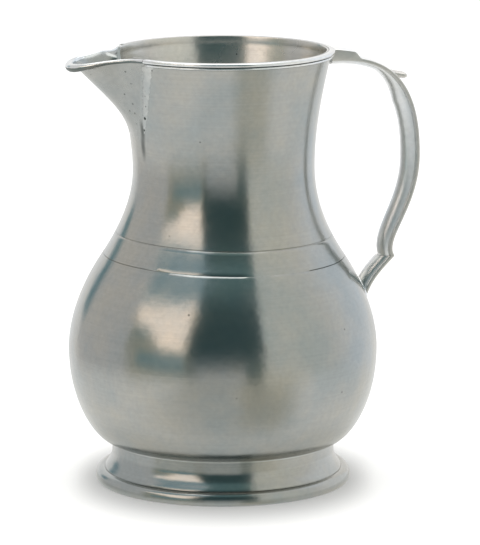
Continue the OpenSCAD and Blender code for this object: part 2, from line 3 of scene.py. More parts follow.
import bmesh
import bpy
import numpy as np
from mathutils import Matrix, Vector


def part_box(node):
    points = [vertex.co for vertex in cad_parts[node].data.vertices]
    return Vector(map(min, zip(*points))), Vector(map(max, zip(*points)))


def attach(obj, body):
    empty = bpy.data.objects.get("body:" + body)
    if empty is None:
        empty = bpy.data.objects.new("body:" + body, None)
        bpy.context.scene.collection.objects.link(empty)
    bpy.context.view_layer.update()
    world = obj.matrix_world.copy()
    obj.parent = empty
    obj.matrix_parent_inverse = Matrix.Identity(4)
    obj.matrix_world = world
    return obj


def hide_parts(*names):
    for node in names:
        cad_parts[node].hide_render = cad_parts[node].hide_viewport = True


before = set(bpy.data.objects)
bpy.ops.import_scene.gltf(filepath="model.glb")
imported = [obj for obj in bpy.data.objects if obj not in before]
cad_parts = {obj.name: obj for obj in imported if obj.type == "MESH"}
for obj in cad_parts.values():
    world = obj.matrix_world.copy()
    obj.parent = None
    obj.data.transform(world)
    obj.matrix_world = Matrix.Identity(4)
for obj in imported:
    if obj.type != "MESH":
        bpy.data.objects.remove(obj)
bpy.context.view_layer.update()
print("frame:", len(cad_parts), "solids")

mm = 0.001
rootBody = "root"


def linear(hexColour):
    parts = [int(hexColour[i:i + 2], 16) / 255 for i in (1, 3, 5)]
    return [c / 12.92 if c <= 0.04045 else ((c + 0.055) / 1.055) ** 2.4 for c in parts] + [1.0]


def addNode(tree, kind, inputs=None, **settings):
    # a node given as an input is linked by its first output
    node = tree.nodes.new(kind)
    for name, value in settings.items():
        setattr(node, name, value)
    for socket, value in (inputs or {}).items():
        if isinstance(value, bpy.types.Node):
            value = value.outputs[0]
        if isinstance(value, bpy.types.NodeSocket):
            tree.links.new(value, node.inputs[socket])
        else:
            node.inputs[socket].default_value = value
    return node


def emptyTree(owner):
    owner.use_nodes = True
    owner.node_tree.nodes.clear()
    return owner.node_tree


# lengths in millimetres, taken from the solids where a solid has them
def reach(node, axis, high=True):
    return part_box(node)[1 if high else 0][axis] / mm


body = {
    "height": reach("neck", 2),
    "wall": 2.0,
    "bellyR": reach("shoulder", 0),
    "bellyZ": reach("shoulder", 2, False),
    "seamR": 61.6, "seamZ": 115.4, "seamLean": 0.66,
    "neckR": 46.4, "neckZ": 161.5,
    "lipR": 54.1, "lipLean": 0.22, "bandH": 3.6, "outerRound": 0.5, "innerRound": 0.6,
    "bowlFlare": 9.2, "bowlLift": 0.8, "bowlSwell": 26.0,
    "shoulderPull": 15.5, "waistPull": 16.0, "throatSwell": 20.0, "lipPull": 16.0,
    "lineZ": 126.5, "lineW": 0.6, "lineDepth": 0.36, "bevelDepth": 0.1,  # upper incised line
    "lineShape": (-1.5, -0.9, -0.5, 0.4, 0.9),  # bevel, bottom and upper edge from the middle, in half widths
    "seamW": 0.3, "seamDepth": 0.3, "seamLip": 0.78,  # lower incised line, in the joint of shoulder and neck
    "seamBottom": (0.06, 0.1),  # how near to the joint its bottom lies in the shoulder and in the neck
    "lapH": 4.0, "lapGap": 0.1,
    "brightFrom": 120.0,  # height above which the inside is seen, and is painted brighter for the light inside
}
foot = {
    "r": reach("foot_ring", 0), "h": reach("foot_ring", 2),
    "topR": 56.4, "bowlR": 57.0, "baseR": 63.6, "restW": 3.2, "restRound": 0.3, "wall": 2.8,
    "edgeH": 6.9, "edgeZ": 2.0, "ledge": 4.2, "edgeBulge": 0.83,
    "groove": ((-0.05, -0.3), (-0.2, -0.27), (-0.3, 0.06)),  # out and up from the top of the edge
    "flareFrom": (-0.4, 0.1), "flare": 1.4, "flareLift": 2.1, "flareSwell": 0.8, "flareFall": 4.5,
    "stemH": 6.3, "stemEase": (0.01, 0.3), "stemFrom": 1.0,
    "registerH": 1.6, "registerW": 2.0, "floorRise": 3.0,
}
hand = {  # what the hammer, the lathe and years of polishing left in the walls
    "waveHeight": 0.16, "waveLength": 46.0, "waveRing": 60.0, "seed": 3.0,
    "pressDepth": 1.1, "pressZ": 155.0, "pressReach": 22.0, "pressFrom": 0.35,  # pressed in on the spout side
    "climb": 1.9, "climbReach": 16.0, "climbDepth": 0.65,  # the lines climb along the wall toward the spout
    # turn in degrees, and the share of the lower line that polishing has taken away there
    "wornAndLit": ((-142, 0), (-126, 0.64), (-93, 0.64), (-90, 0.98), (-79, 0.98), (-77, 0.84),
             (-70, 0.84), (-68, 0.98), (-60, 0.98), (-57, 0)),
    "wornSpan": (0.6, 0.2),  # how far above, below and under the line the filling reaches
}
b, f = body, foot


# outlines of the walls, as radius and height

def between(start, end, count):
    return np.linspace(start, end, count)


def cubic(p, u):
    p, u = np.array(p, float), np.atleast_1d(np.asarray(u, float))[:, None]
    return (1 - u) ** 3 * p[0] + 3 * u * (1 - u) ** 2 * p[1] + 3 * u * u * (1 - u) * p[2] + u ** 3 * p[3]


def headingOf(p, u):
    p, u = np.array(p, float), np.atleast_1d(np.asarray(u, float))[:, None]
    d = (1 - u) ** 2 * (p[1] - p[0]) + 2 * u * (1 - u) * (p[2] - p[1]) + u * u * (p[3] - p[2])
    return d / np.linalg.norm(d, axis=1, keepdims=True)


def along(p, u):
    return cubic(p, u)[0], headingOf(p, u)[0]


def setBack(p, u, depth):
    d = headingOf(p, u)
    return cubic(p, u) - depth * np.stack([d[:, 1], -d[:, 0]], 1)


lipZ = b["height"] - b["bandH"]
belly, seam = [b["bellyR"], b["bellyZ"]], [b["seamR"], b["seamZ"]]
waist, lip = [b["neckR"], b["neckZ"]], [b["lipR"], lipZ]
bowlWall = [[f["bowlR"], f["h"]], [f["bowlR"] + b["bowlFlare"], f["h"] + b["bowlLift"]],
            [b["bellyR"], b["bellyZ"] - b["bowlSwell"]], belly]
shoulderWall = [belly, [b["bellyR"], b["bellyZ"] + b["shoulderPull"]],
                [b["seamR"] + b["seamLean"] * b["shoulderPull"], b["seamZ"] - b["shoulderPull"]], seam]
waistWall = [seam, [b["seamR"] - b["seamLean"] * b["waistPull"], b["seamZ"] + b["waistPull"]],
             [b["neckR"], b["neckZ"] - b["waistPull"]], waist]
throatWall = [waist, [b["neckR"], b["neckZ"] + b["throatSwell"]],
              [b["lipR"] - b["lipLean"] * b["lipPull"], lipZ - b["lipPull"]], lip]
walls = (bowlWall, shoulderWall, waistWall, throatWall)
outline = np.concatenate([cubic(p, between(0, 1, 80)) for p in walls])


def bodyR(z):
    return np.interp(z, outline[:, 1], outline[:, 0])


def shareAt(p, z):
    u = between(0, 1, 400)
    return float(np.interp(z, cubic(p, u)[:, 1], u))


def onWall(degrees, z):
    r, a = float(bodyR(z)), math.radians(degrees)
    return r * math.cos(a), r * math.sin(a), z


# materials: all of it is pewter or tin solder, so the finishes differ in tone, polish and pitting; some tones
# are painted lighter or darker for light and shade

finishes = {  # tones are middle, warm and cool, and pits have a spacing, a share and a width in mm
    # cast and turned on the lathe: soft reflections, drawn out round the axis
    "turnedPewter": {"tones": ("#a9aaa6", "#b0aea6", "#a0a5a4"), "rough": (0.17, 0.25), "turned": True,
                     "pits": (14, 0.25, 0.5), "bump": 0.12},
    # the turned inside: painted paler where it is seen, for the light inside, with softer reflections
    "litInsidePewter": {"tones": ("#c9c8c3", "#cfccc5", "#bfc1c0"), "rough": (0.2, 0.3), "turned": True,
                     "pits": (9, 0.2, 0.6), "bump": 0.15},
    # cast in a mould and scraped: uneven, with pits
    "castPewter": {"tones": ("#aaaba7", "#b3b1aa", "#9da1a0"), "rough": (0.22, 0.34),
                   "pits": (4.5, 0.3, 0.7), "bump": 0.4},
    # beads that hands and cloths rub bright, painted paler still as a highlight
    "rubbedLitPewter": {"tones": ("#e3e4e4", "#e7e7e4", "#dadee0"), "rough": (0.18, 0.26),
                     "pits": (12, 0.2, 0.5), "bump": 0.15},
    # the handle: worn satin, painted pale for the light it catches
    "litHandlePewter": {"tones": ("#f3f4f5", "#f5f4f2", "#ebeef1"), "rough": (0.33, 0.42),
                     "pits": (16, 0.2, 0.5), "bump": 0.15},
    # painted shade: the flat sides of the handle, a little darker
    "shadedFlangePewter": {"tones": ("#d3d1cd", "#dad6d1", "#c9caca"), "rough": (0.3, 0.42),
                     "pits": (12, 0.2, 0.5), "bump": 0.2},
    # painted shade: dark metal under the beads, on faces that look down
    "underShadePewter": {"tones": ("#6c7472", "#7b7a74", "#6c7472"), "rough": (0.3, 0.45),
                        "pits": (5, 0.3, 0.6), "bump": 0.4},
    # sawn and filed edge of the notch: pale and matt
    "filedPewter": {"tones": ("#dededb", "#dededb", "#dadee0"), "rough": (0.5, 0.6),
                    "pits": (3, 0.3, 0.5), "bump": 0.8},
    # tin solder wiped on hot: pale, lumpy and pitted
    "tinSolder": {"tones": ("#cfcfcb", "#e3e4e4", "#b4b8b7"), "rough": (0.3, 0.45),
                  "pits": (2, 0.4, 0.9), "bump": 1.0},
}
surface = {  # sizes of the marks in the metal, in mm
    "cloud": 40, "line": 0.6, "lineRun": 70, "castGrain": 3, "grain": 2.2, "rub": 22, "hammer": 9,
    "relief": 0.05, "hammerDepth": 0.1,
}
marks = {
    # the dark colour is grime in pits and knocks, and painted shade beside the spout; the pale one is a
    # painted highlight along the joint of foot and bowl
    "grimeAndShade": "#3c423f", "wornAndLit": "#c2c4c1",
    "ledge": (20.3, 22.2), "ledgeSoft": (0.4, 0.7),  # heights of the painted highlight along the joint of foot and bowl
    "dents": ((-115.5, 98, 1.5), (-115.5, 180, 1.1), (-49, 86, 1.2), (-97, 58, 0.9), (-52, 55, 1.3),
              (-132.5, 133, 0.9)),  # turn in degrees, height and width of the few knocks that show
    "dentDepth": 0.7,
    # painted shade in the corner beside the spout
    "cornerShades": ((-158.8, 182.0, 1.9, 6.0), (-160.4, 173.5, 2.0, 6.5)),  # turn, height, half width, half height
    "cornerShadeFade": (1.5, 0.2), "cornerShadeDepth": 0.75,
}


def cloudTone(tree, place, tones):
    # clouds of warmer and cooler metal
    cloud = addNode(tree, "ShaderNodeTexNoise", {
        "Vector": place, "Scale": 1 / (surface["cloud"] * mm), "Detail": 6.0, "Roughness": 0.62})
    tone = addNode(tree, "ShaderNodeValToRGB", {"Fac": cloud})
    middle, warm, cool = [linear(t) for t in tones]
    ramp = tone.color_ramp.elements
    ramp[0].position, ramp[0].color = 0.38, cool
    ramp[1].position, ramp[1].color = 0.64, warm
    ramp.new(0.51).color = middle
    return tone


def grainOf(tree, place, turned):
    # turning lines run round the axis, and a cast face has an even grain
    run, step = (surface["lineRun"], surface["line"]) if turned else (surface["castGrain"],) * 2
    lined = addNode(tree, "ShaderNodeMapping", {
        "Vector": place, "Scale": (1 / (run * mm), 1 / (run * mm), 1 / (step * mm))})
    lines = addNode(tree, "ShaderNodeTexNoise", {"Vector": lined, "Scale": 1.0, "Detail": 2.0})
    grain = addNode(tree, "ShaderNodeTexNoise", {
        "Vector": place, "Scale": 1 / (surface["grain"] * mm), "Detail": 3.0})
    return lines, grain


def streak(tree, colour, lines, grain):
    # turning lines and flecks, a few hundredths lighter and darker
    for noise, dark, light in ((lines, 0.97, 1.02), (grain, 0.965, 1.03)):
        shade = addNode(tree, "ShaderNodeMapRange", {
            "Value": noise, "From Min": 0.3, "From Max": 0.7, "To Min": dark, "To Max": light})
        shaded = addNode(tree, "ShaderNodeMix", {
            0: 1.0, 6: colour, 7: shade}, data_type="RGBA", blend_type="MULTIPLY")
        colour = shaded.outputs[2]
    return colour


def paintLedgeHighlight(tree, place, colour):
    # painted highlight: a paler band along the joint of foot and bowl
    height = addNode(tree, "ShaderNodeSeparateXYZ", {0: place}).outputs["Z"]
    (low, high), (softLow, softHigh) = marks["ledge"], marks["ledgeSoft"]
    above = addNode(tree, "ShaderNodeMapRange", {
        "Value": height, "From Min": (low - softLow) * mm, "From Max": (low + softLow) * mm},
        interpolation_type="SMOOTHSTEP")
    below = addNode(tree, "ShaderNodeMapRange", {
        "Value": height, "From Min": (high + softHigh) * mm, "From Max": (high - softHigh) * mm},
        interpolation_type="SMOOTHSTEP")
    ledge = addNode(tree, "ShaderNodeMath", {0: above, 1: below}, operation="MULTIPLY")
    return addNode(tree, "ShaderNodeMix", {
        0: ledge, 6: colour, 7: linear(marks["wornAndLit"])}, data_type="RGBA").outputs[2]


def paintCornerShade(tree, place, colour):
    # painted shade in the corner beside the spout
    fadeFrom, fadeTo = marks["cornerShadeFade"]
    for degrees, z, halfW, halfH in marks["cornerShades"]:
        spot = [c * mm for c in onWall(degrees, z)]
        off = addNode(tree, "ShaderNodeVectorMath", {0: place, 1: spot}, operation="SUBTRACT")
        shares = (1 / (halfW * mm), 1 / (halfW * mm), 1 / (halfH * mm))
        near = addNode(tree, "ShaderNodeVectorMath", {0: off, 1: shares}, operation="MULTIPLY")
        far = addNode(tree, "ShaderNodeVectorMath", {0: near}, operation="LENGTH")
        patch = addNode(tree, "ShaderNodeMapRange", {
            "Value": far.outputs["Value"], "From Min": fadeFrom, "From Max": fadeTo,
            "To Max": marks["cornerShadeDepth"]}, interpolation_type="SMOOTHSTEP")
        colour = addNode(tree, "ShaderNodeMix", {
            0: patch, 6: colour, 7: linear(marks["grimeAndShade"])}, data_type="RGBA").outputs[2]
    return colour


def hollows(tree, place, pits, knocks):
    # casting pits in scattered cells, and the knocks that have a place of their own
    every, share, width = pits
    cells = addNode(tree, "ShaderNodeTexVoronoi", {"Vector": place, "Scale": 1 / (every * mm)})
    chosen = addNode(tree, "ShaderNodeSeparateColor", {"Color": cells.outputs["Color"]})
    size = addNode(tree, "ShaderNodeMapRange", {
        "Value": chosen.outputs["Red"], "From Min": 1 - share, "From Max": 1.0, "To Min": 0.0,
        "To Max": width / every})
    inside = addNode(tree, "ShaderNodeMath", {0: size, 1: cells.outputs["Distance"]}, operation="SUBTRACT")
    hollow = addNode(tree, "ShaderNodeMapRange", {
        "Value": inside, "From Min": 0.0, "From Max": 0.3 * width / every})
    for *spot, knockW in knocks:
        off = addNode(tree, "ShaderNodeVectorMath", {
            0: place, 1: [c * mm for c in spot]}, operation="DISTANCE")
        knock = addNode(tree, "ShaderNodeMapRange", {
            "Value": off.outputs["Value"], "From Min": knockW / 2 * mm, "From Max": knockW / 6 * mm,
            "To Max": marks["dentDepth"]})
        hollow = addNode(tree, "ShaderNodeMath", {0: hollow, 1: knock}, operation="MAXIMUM")
    return hollow


def makePewter(name, knocks=(), ledge=False, cornerShaded=False):
    metal = finishes[name]
    material = bpy.data.materials.new(name)
    tree = emptyTree(material)
    place = addNode(tree, "ShaderNodeTexCoord").outputs["Object"]
    lines, grain = grainOf(tree, place, metal.get("turned", False))
    colour = streak(tree, cloudTone(tree, place, metal["tones"]), lines, grain)
    if ledge:
        colour = paintLedgeHighlight(tree, place, colour)
    if cornerShaded:
        colour = paintCornerShade(tree, place, colour)
    hollow = hollows(tree, place, metal["pits"], knocks)
    pitted = addNode(tree, "ShaderNodeMix", {
        0: hollow, 6: colour, 7: linear(marks["grimeAndShade"])}, data_type="RGBA")
    # handling leaves duller and brighter patches
    rub = addNode(tree, "ShaderNodeTexNoise", {
        "Vector": place, "Scale": 1 / (surface["rub"] * mm), "Detail": 4.0})
    dull = addNode(tree, "ShaderNodeMapRange", {
        "Value": rub, "From Min": 0.3, "From Max": 0.7, "To Min": metal["rough"][0],
        "To Max": metal["rough"][1]})
    raised = addNode(tree, "ShaderNodeMath", {0: lines, 1: grain}, operation="ADD")
    level = addNode(tree, "ShaderNodeMath", {0: raised, 1: hollow}, operation="SUBTRACT")
    bump = addNode(tree, "ShaderNodeBump", {
        "Height": level, "Strength": metal["bump"], "Distance": surface["relief"] * mm})
    shader = addNode(tree, "ShaderNodeBsdfPrincipled", {
        "Metallic": 1.0, "Base Color": pitted.outputs[2], "Roughness": dull, "Normal": bump})
    addNode(tree, "ShaderNodeOutputMaterial", {"Surface": shader})
    if metal.get("turned", False):
        # faint hammer marks, and highlights stretched by the turning lines
        hammer = addNode(tree, "ShaderNodeTexNoise", {
            "Vector": place, "Scale": 1 / (surface["hammer"] * mm), "Detail": 2.0})
        dinted = addNode(tree, "ShaderNodeBump", {
            "Height": hammer, "Strength": 1.0, "Distance": surface["hammerDepth"] * mm})
        tree.links.new(dinted.outputs["Normal"], bump.inputs["Normal"])
        tangent = addNode(tree, "ShaderNodeVectorMath", {0: place, 1: (0, 0, 1)}, operation="CROSS_PRODUCT")
        tree.links.new(tangent.outputs["Vector"], shader.inputs["Tangent"])
        shader.inputs["Anisotropic"].default_value = 0.45
        shader.inputs["Anisotropic Rotation"].default_value = 0.25
    return material


dents = [(*onWall(degrees, z), width) for degrees, z, width in marks["dents"]]
turnedPewter = makePewter("turnedPewter", dents, ledge=True, cornerShaded=True)
litInsidePewter = makePewter("litInsidePewter")
rubbedLitPewter = makePewter("rubbedLitPewter")
litHandlePewter = makePewter("litHandlePewter")
shadedFlangePewter = makePewter("shadedFlangePewter")
underShadePewter = makePewter("underShadePewter")
filedPewter = makePewter("filedPewter")
tinSolder = makePewter("tinSolder")
print("materials:", len(bpy.data.materials))


# what the pieces are made with

def dress(piece, node, material, crease=40):
    if not piece.data.materials:
        piece.data.materials.append(material)
    piece.data.shade_smooth()
    piece.data.set_sharp_from_angle(angle=math.radians(crease))
    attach(piece, rootBody)
    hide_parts(node)
    return piece


def link(name, data):
    piece = bpy.data.objects.new(name, data)
    bpy.context.scene.collection.objects.link(piece)
    return piece


def plainMesh(piece, name):
    # the evaluated result becomes a mesh of its own, and the working object goes
    graph = bpy.context.evaluated_depsgraph_get()
    mesh = bpy.data.meshes.new_from_object(piece.evaluated_get(graph), depsgraph=graph)
    bpy.data.objects.remove(piece)
    return link(name, mesh)


def outward(piece):
    work = bmesh.new()
    work.from_mesh(piece.data)
    bmesh.ops.recalc_face_normals(work, faces=work.faces)
    work.to_mesh(piece.data)
    work.free()
    return piece


def meshPiece(name, points, faces):
    mesh = bpy.data.meshes.new(name)
    mesh.from_pydata([tuple(p * mm) for p in np.asarray(points, float)], [], faces)
    work = bmesh.new()
    work.from_mesh(mesh)
    bmesh.ops.remove_doubles(work, verts=work.verts, dist=1e-6)
    bmesh.ops.dissolve_degenerate(work, edges=work.edges, dist=1e-7)
    bmesh.ops.recalc_face_normals(work, faces=work.faces)
    work.to_mesh(mesh)
    work.free()
    return link(name, mesh)


def loft(name, *bars):
    # bars closed at both ends, each from a row of rings of one length
    points, faces = [], []
    for rings in bars:
        rings, o = np.array(rings), len(points)
        m, n = rings.shape[:2]
        faces += [(o + k * n + i, o + k * n + (i + 1) % n, o + (k + 1) * n + (i + 1) % n, o + (k + 1) * n + i)
                  for k in range(m - 1) for i in range(n)]
        faces += [tuple(o + i for i in range(n))[::-1], tuple(o + (m - 1) * n + i for i in range(n))]
        points += rings.reshape(-1, 3).tolist()
    return meshPiece(name, points, faces)


def newTree(name, taken, sizes, made):
    # a tree that takes and makes one geometry, with named sizes and a metal
    tree = bpy.data.node_groups.new(name, "GeometryNodeTree")
    face = tree.interface
    face.new_socket(taken, in_out="INPUT", socket_type="NodeSocketGeometry")
    for label, (kind, value) in sizes.items():
        face.new_socket(label, in_out="INPUT", socket_type="NodeSocket" + kind).default_value = value
    face.new_socket("Metal", in_out="INPUT", socket_type="NodeSocketMaterial")
    face.new_socket(made, in_out="OUTPUT", socket_type="NodeSocketGeometry")
    return tree, addNode(tree, "NodeGroupInput").outputs


def endTree(tree, shape, metal, made):
    real = addNode(tree, "GeometryNodeRealizeInstances", {"Geometry": shape})
    dressed = addNode(tree, "GeometryNodeSetMaterial", {"Geometry": real, "Material": metal})
    addNode(tree, "NodeGroupOutput", {made: dressed})
    return tree


def runTree(piece, tree, values, name):
    modifier = piece.modifiers.new(tree.name, "NODES")
    modifier.node_group = tree
    sockets = {item.name: item.identifier for item in tree.interface.items_tree if item.in_out == "INPUT"}
    for label, value in values.items():
        modifier[sockets[label]] = value
    return plainMesh(piece, name)


def latheTree():
    # a wall's outline turned round the axis, with the slight waves of hand work
    tree, given = newTree("turnOnLathe", "Outline", {
        "Steps": ("Int", 256), "Start": ("Float", 0.0), "Sweep": ("Float", 2 * math.pi),
        "Closed Ends": ("Bool", False), "Spindle": ("Float", mm), "Wave Height": ("Float", 0.0),
        "Wave Length": ("Float", hand["waveLength"] * mm), "Seed": ("Float", 0.0),
        "Press Depth": ("Float", 0.0), "Press Height": ("Float", hand["pressZ"] * mm),
        "Press Reach": ("Float", hand["pressReach"] * mm)}, "Wall")
    part = addNode(tree, "GeometryNodeCurveArc", {
        "Resolution": given["Steps"], "Radius": given["Spindle"], "Start Angle": given["Start"],
        "Sweep Angle": given["Sweep"]})
    whole = addNode(tree, "GeometryNodeCurvePrimitiveCircle", {
        "Resolution": given["Steps"], "Radius": given["Spindle"]})
    guide = addNode(tree, "GeometryNodeSwitch", {
        "Switch": given["Closed Ends"], "False": whole, "True": part}, input_type="GEOMETRY")
    turned = addNode(tree, "GeometryNodeCurveToMesh", {
        "Curve": guide.outputs["Output"], "Profile Curve": given["Outline"],
        "Fill Caps": given["Closed Ends"]})
    closed = addNode(tree, "GeometryNodeMergeByDistance", {"Geometry": turned, "Distance": 0.004 * mm})
    # waves are read off a ring of one size, so that both faces of a wall move together
    where = addNode(tree, "ShaderNodeSeparateXYZ", {0: addNode(tree, "GeometryNodeInputPosition")})
    flat = addNode(tree, "ShaderNodeCombineXYZ", {"X": where.outputs["X"], "Y": where.outputs["Y"]})
    away = addNode(tree, "ShaderNodeVectorMath", {0: flat}, operation="NORMALIZE")
    ring = addNode(tree, "ShaderNodeVectorMath", {0: away, "Scale": hand["waveRing"] * mm}, operation="SCALE")
    up = addNode(tree, "ShaderNodeCombineXYZ", {"Z": where.outputs["Z"]})
    onRing = addNode(tree, "ShaderNodeVectorMath", {0: ring, 1: up}, operation="ADD")
    often = addNode(tree, "ShaderNodeMath", {0: 1.0, 1: given["Wave Length"]}, operation="DIVIDE")
    wave = addNode(tree, "ShaderNodeTexNoise", {
        "Vector": onRing, "W": given["Seed"], "Scale": often, "Detail": 1.0}, noise_dimensions="4D")
    centred = addNode(tree, "ShaderNodeMath", {0: wave, 1: 0.5}, operation="SUBTRACT")
    waved = addNode(tree, "ShaderNodeMath", {0: centred, 1: given["Wave Height"]}, operation="MULTIPLY")
    # the spout side of the neck is pressed in a little
    off = addNode(tree, "ShaderNodeMath", {
        0: where.outputs["Z"], 1: given["Press Height"]}, operation="SUBTRACT")
    far = addNode(tree, "ShaderNodeMath", {0: off, 1: given["Press Reach"]}, operation="DIVIDE")
    square = addNode(tree, "ShaderNodeMath", {0: far, 1: far}, operation="MULTIPLY")
    fall = addNode(tree, "ShaderNodeMath", {0: square, 1: -1.0}, operation="MULTIPLY")
    bell = addNode(tree, "ShaderNodeMath", {0: math.e, 1: fall}, operation="POWER")
    side = addNode(tree, "ShaderNodeSeparateXYZ", {0: away})
    spoutSide = addNode(tree, "ShaderNodeMapRange", {
        "Value": side.outputs["X"], "From Min": -hand["pressFrom"], "From Max": -1.0},
        interpolation_type="SMOOTHSTEP")
    pressed = addNode(tree, "ShaderNodeMath", {0: bell, 1: spoutSide}, operation="MULTIPLY")
    depth = addNode(tree, "ShaderNodeMath", {0: pressed, 1: given["Press Depth"]}, operation="MULTIPLY")
    amount = addNode(tree, "ShaderNodeMath", {0: waved, 1: depth}, operation="SUBTRACT")
    shift = addNode(tree, "ShaderNodeVectorMath", {0: away, "Scale": amount}, operation="SCALE")
    moved = addNode(tree, "GeometryNodeSetPosition", {"Geometry": closed, "Offset": shift})
    return endTree(tree, moved, given["Metal"], "Wall")


lathe = latheTree()
spindle = 1.0  # radius of the guide circle that carries the outline, in mm


def turn(name, points, material, closed, **inputs):
    curve = bpy.data.curves.new(name + "Outline", "CURVE")
    curve.dimensions = "3D"
    spline = curve.splines.new("POLY")
    spline.points.add(len(points) - 1)
    spline.use_cyclic_u = closed
    for point, (r, z) in zip(spline.points, points):
        point.co = ((r - spindle) * mm, -z * mm, 0, 1)
    given = {"Metal": material, "Spindle": spindle * mm, "Wave Height": hand["waveHeight"] * mm,
             "Wave Length": hand["waveLength"] * mm, "Seed": hand["seed"]}
    return outward(runTree(link(name + "Outline", curve), lathe, {**given, **inputs}, name))


def wear(piece):
    # fills the lower line where polishing has taken it away
    turns, shares = zip(*hand["wornAndLit"])
    beside, under = hand["wornSpan"]
    for v in piece.data.vertices:
        r, z = math.hypot(v.co.x, v.co.y) / mm, v.co.z / mm
        wall = float(bodyR(z))
        if abs(z - b["seamZ"]) < beside and wall - b["seamDepth"] - under < r < wall:
            share = float(np.interp(math.degrees(math.atan2(v.co.y, v.co.x)), turns, shares))
            grow = 1 + (wall - r) / r * share
            v.co.x, v.co.y = v.co.x * grow, v.co.y * grow
    return piece


def climb(piece):
    # the lines climb a little toward the spout, along the wall
    middle = (b["seamZ"] + b["lineZ"]) / 2
    for v in piece.data.vertices:
        r, z = math.hypot(v.co.x, v.co.y) / mm, v.co.z / mm
        wall = float(bodyR(z))
        if wall - r < hand["climbDepth"] * b["wall"]:  # the inner face stays
            near = math.exp(-((z - middle) / hand["climbReach"]) ** 2)
            lift = hand["climb"] * near * max(0, -v.co.x / mm / r)
            grow = 1 + (float(bodyR(z + lift)) - wall) / r
            v.co.x, v.co.y, v.co.z = v.co.x * grow, v.co.y * grow, (z + lift) * mm
    return piece


# turned pieces

def makeFoot():
    edgeR, stemZ = f["r"] - f["ledge"], f["h"] - f["stemH"]
    (flareX, flareZ), (easeX, easeZ) = f["flareFrom"], f["stemEase"]
    flare = [[edgeR + flareX, f["edgeH"] + flareZ], [edgeR - f["flare"], f["edgeH"] + f["flareLift"]],
             [f["topR"] + f["flareSwell"], stemZ - f["flareFall"]], [f["topR"], stemZ]]
    a = np.radians(between(-90, -8, 8))
    under = np.stack([f["baseR"] + (f["r"] - f["baseR"]) * np.cos(a), f["edgeZ"] * (1 + np.sin(a))], 1)
    a = np.radians(between(0, 85, 26))
    edge = np.stack([edgeR + f["ledge"] * np.cos(a) ** f["edgeBulge"],
                     f["edgeZ"] + (f["edgeH"] - f["edgeZ"]) * np.sin(a) ** f["edgeBulge"]], 1)
    groove = [[edgeR + x, f["edgeH"] + z] for x, z in f["groove"]]
    outside = np.concatenate([cubic(flare, between(0, 0.96, 24)), [[f["topR"] + easeX, stemZ + easeZ]],
                              [[f["topR"], z] for z in between(stemZ + f["stemFrom"], f["h"], 8)]])
    inside = np.concatenate([[[f["topR"] - f["wall"], f["h"]]], setBack(flare, between(1, 0, 12), f["wall"])])
    restR, e = f["baseR"] - f["restW"], f["restRound"]
    points = np.concatenate([under, edge, groove, outside, inside, [[restR, e], [restR + e, 0]]])
    piece = turn("footRing", points, turnedPewter, True, **{"Wave Height": 0.0})
    return dress(piece, "foot_ring", turnedPewter)


def makeBowl():
    registerR = f["topR"] - f["wall"] - b["lapGap"]
    floorR, tongueR = registerR - f["registerW"], b["bellyR"] - b["wall"] / 2
    lowZ, lapZ = f["h"] - f["registerH"], b["bellyZ"] + b["lapH"]
    r = between(0, floorR, 12)
    under = np.stack([r, f["h"] + f["floorRise"] * (1 - (r / floorR) ** 2)], 1)
    above = under[::-1] + [0, b["wall"]]
    points = np.concatenate([
        under, [[floorR, lowZ], [registerR, lowZ], [registerR, f["h"]]],
        cubic(bowlWall, between(0, 1, 48)),
        [[tongueR, b["bellyZ"]], [tongueR, lapZ], [b["bellyR"] - b["wall"], lapZ]],
        setBack(bowlWall, between(1, 0, 36), b["wall"]), above])
    return dress(turn("lowerBowl", points, turnedPewter, False), "lower_bowl", turnedPewter)


def makeShoulder():
    lapShare = shareAt(shoulderWall, b["seamZ"] - b["lapH"])
    lipShare = b["seamW"] * b["seamLip"] / (b["seamZ"] - b["bellyZ"])
    pocketR, pocketZ = b["bellyR"] - b["wall"] / 2 + b["lapGap"], b["bellyZ"] + b["lapH"] + b["lapGap"]
    points = np.concatenate([
        cubic(shoulderWall, between(0, 1 - lipShare, 44)),
        setBack(shoulderWall, 1 - lipShare * b["seamBottom"][0], b["seamDepth"]),
        setBack(shoulderWall, between(1, lapShare, 3), b["wall"] / 2),
        setBack(shoulderWall, between(lapShare, 0.12, 24), b["wall"]),
        [[b["bellyR"] - b["wall"], pocketZ], [pocketR, pocketZ], [pocketR, b["bellyZ"]]]])
    piece = climb(wear(turn("shoulder", points, turnedPewter, True)))
    return dress(piece, "shoulder", turnedPewter)


def notchCutter():
    # a round-bottomed wedge that opens the neck behind the spout
    r, half, over = spout["notchR"], spout["notchW"] / 2, b["height"] + spout["notchOver"]
    low = [(r * math.cos(a), spout["notchZ"] + r * math.sin(a)) for a in np.radians(between(-180, 0, 25))]
    ring = low + [(half, over), (-half, over)]
    n = len(ring)
    points = [(x, y, z) for x in (-spout["reach"], -spout["notchTo"]) for y, z in ring]
    faces = [tuple(range(n)), tuple(range(2 * n - 1, n - 1, -1))]
    faces += [(i, (i + 1) % n, n + (i + 1) % n, n + i) for i in range(n)]
    cutter = outward(meshPiece("notchCutter", points, faces))
    cutter.data.materials.append(filedPewter)
    return cutter


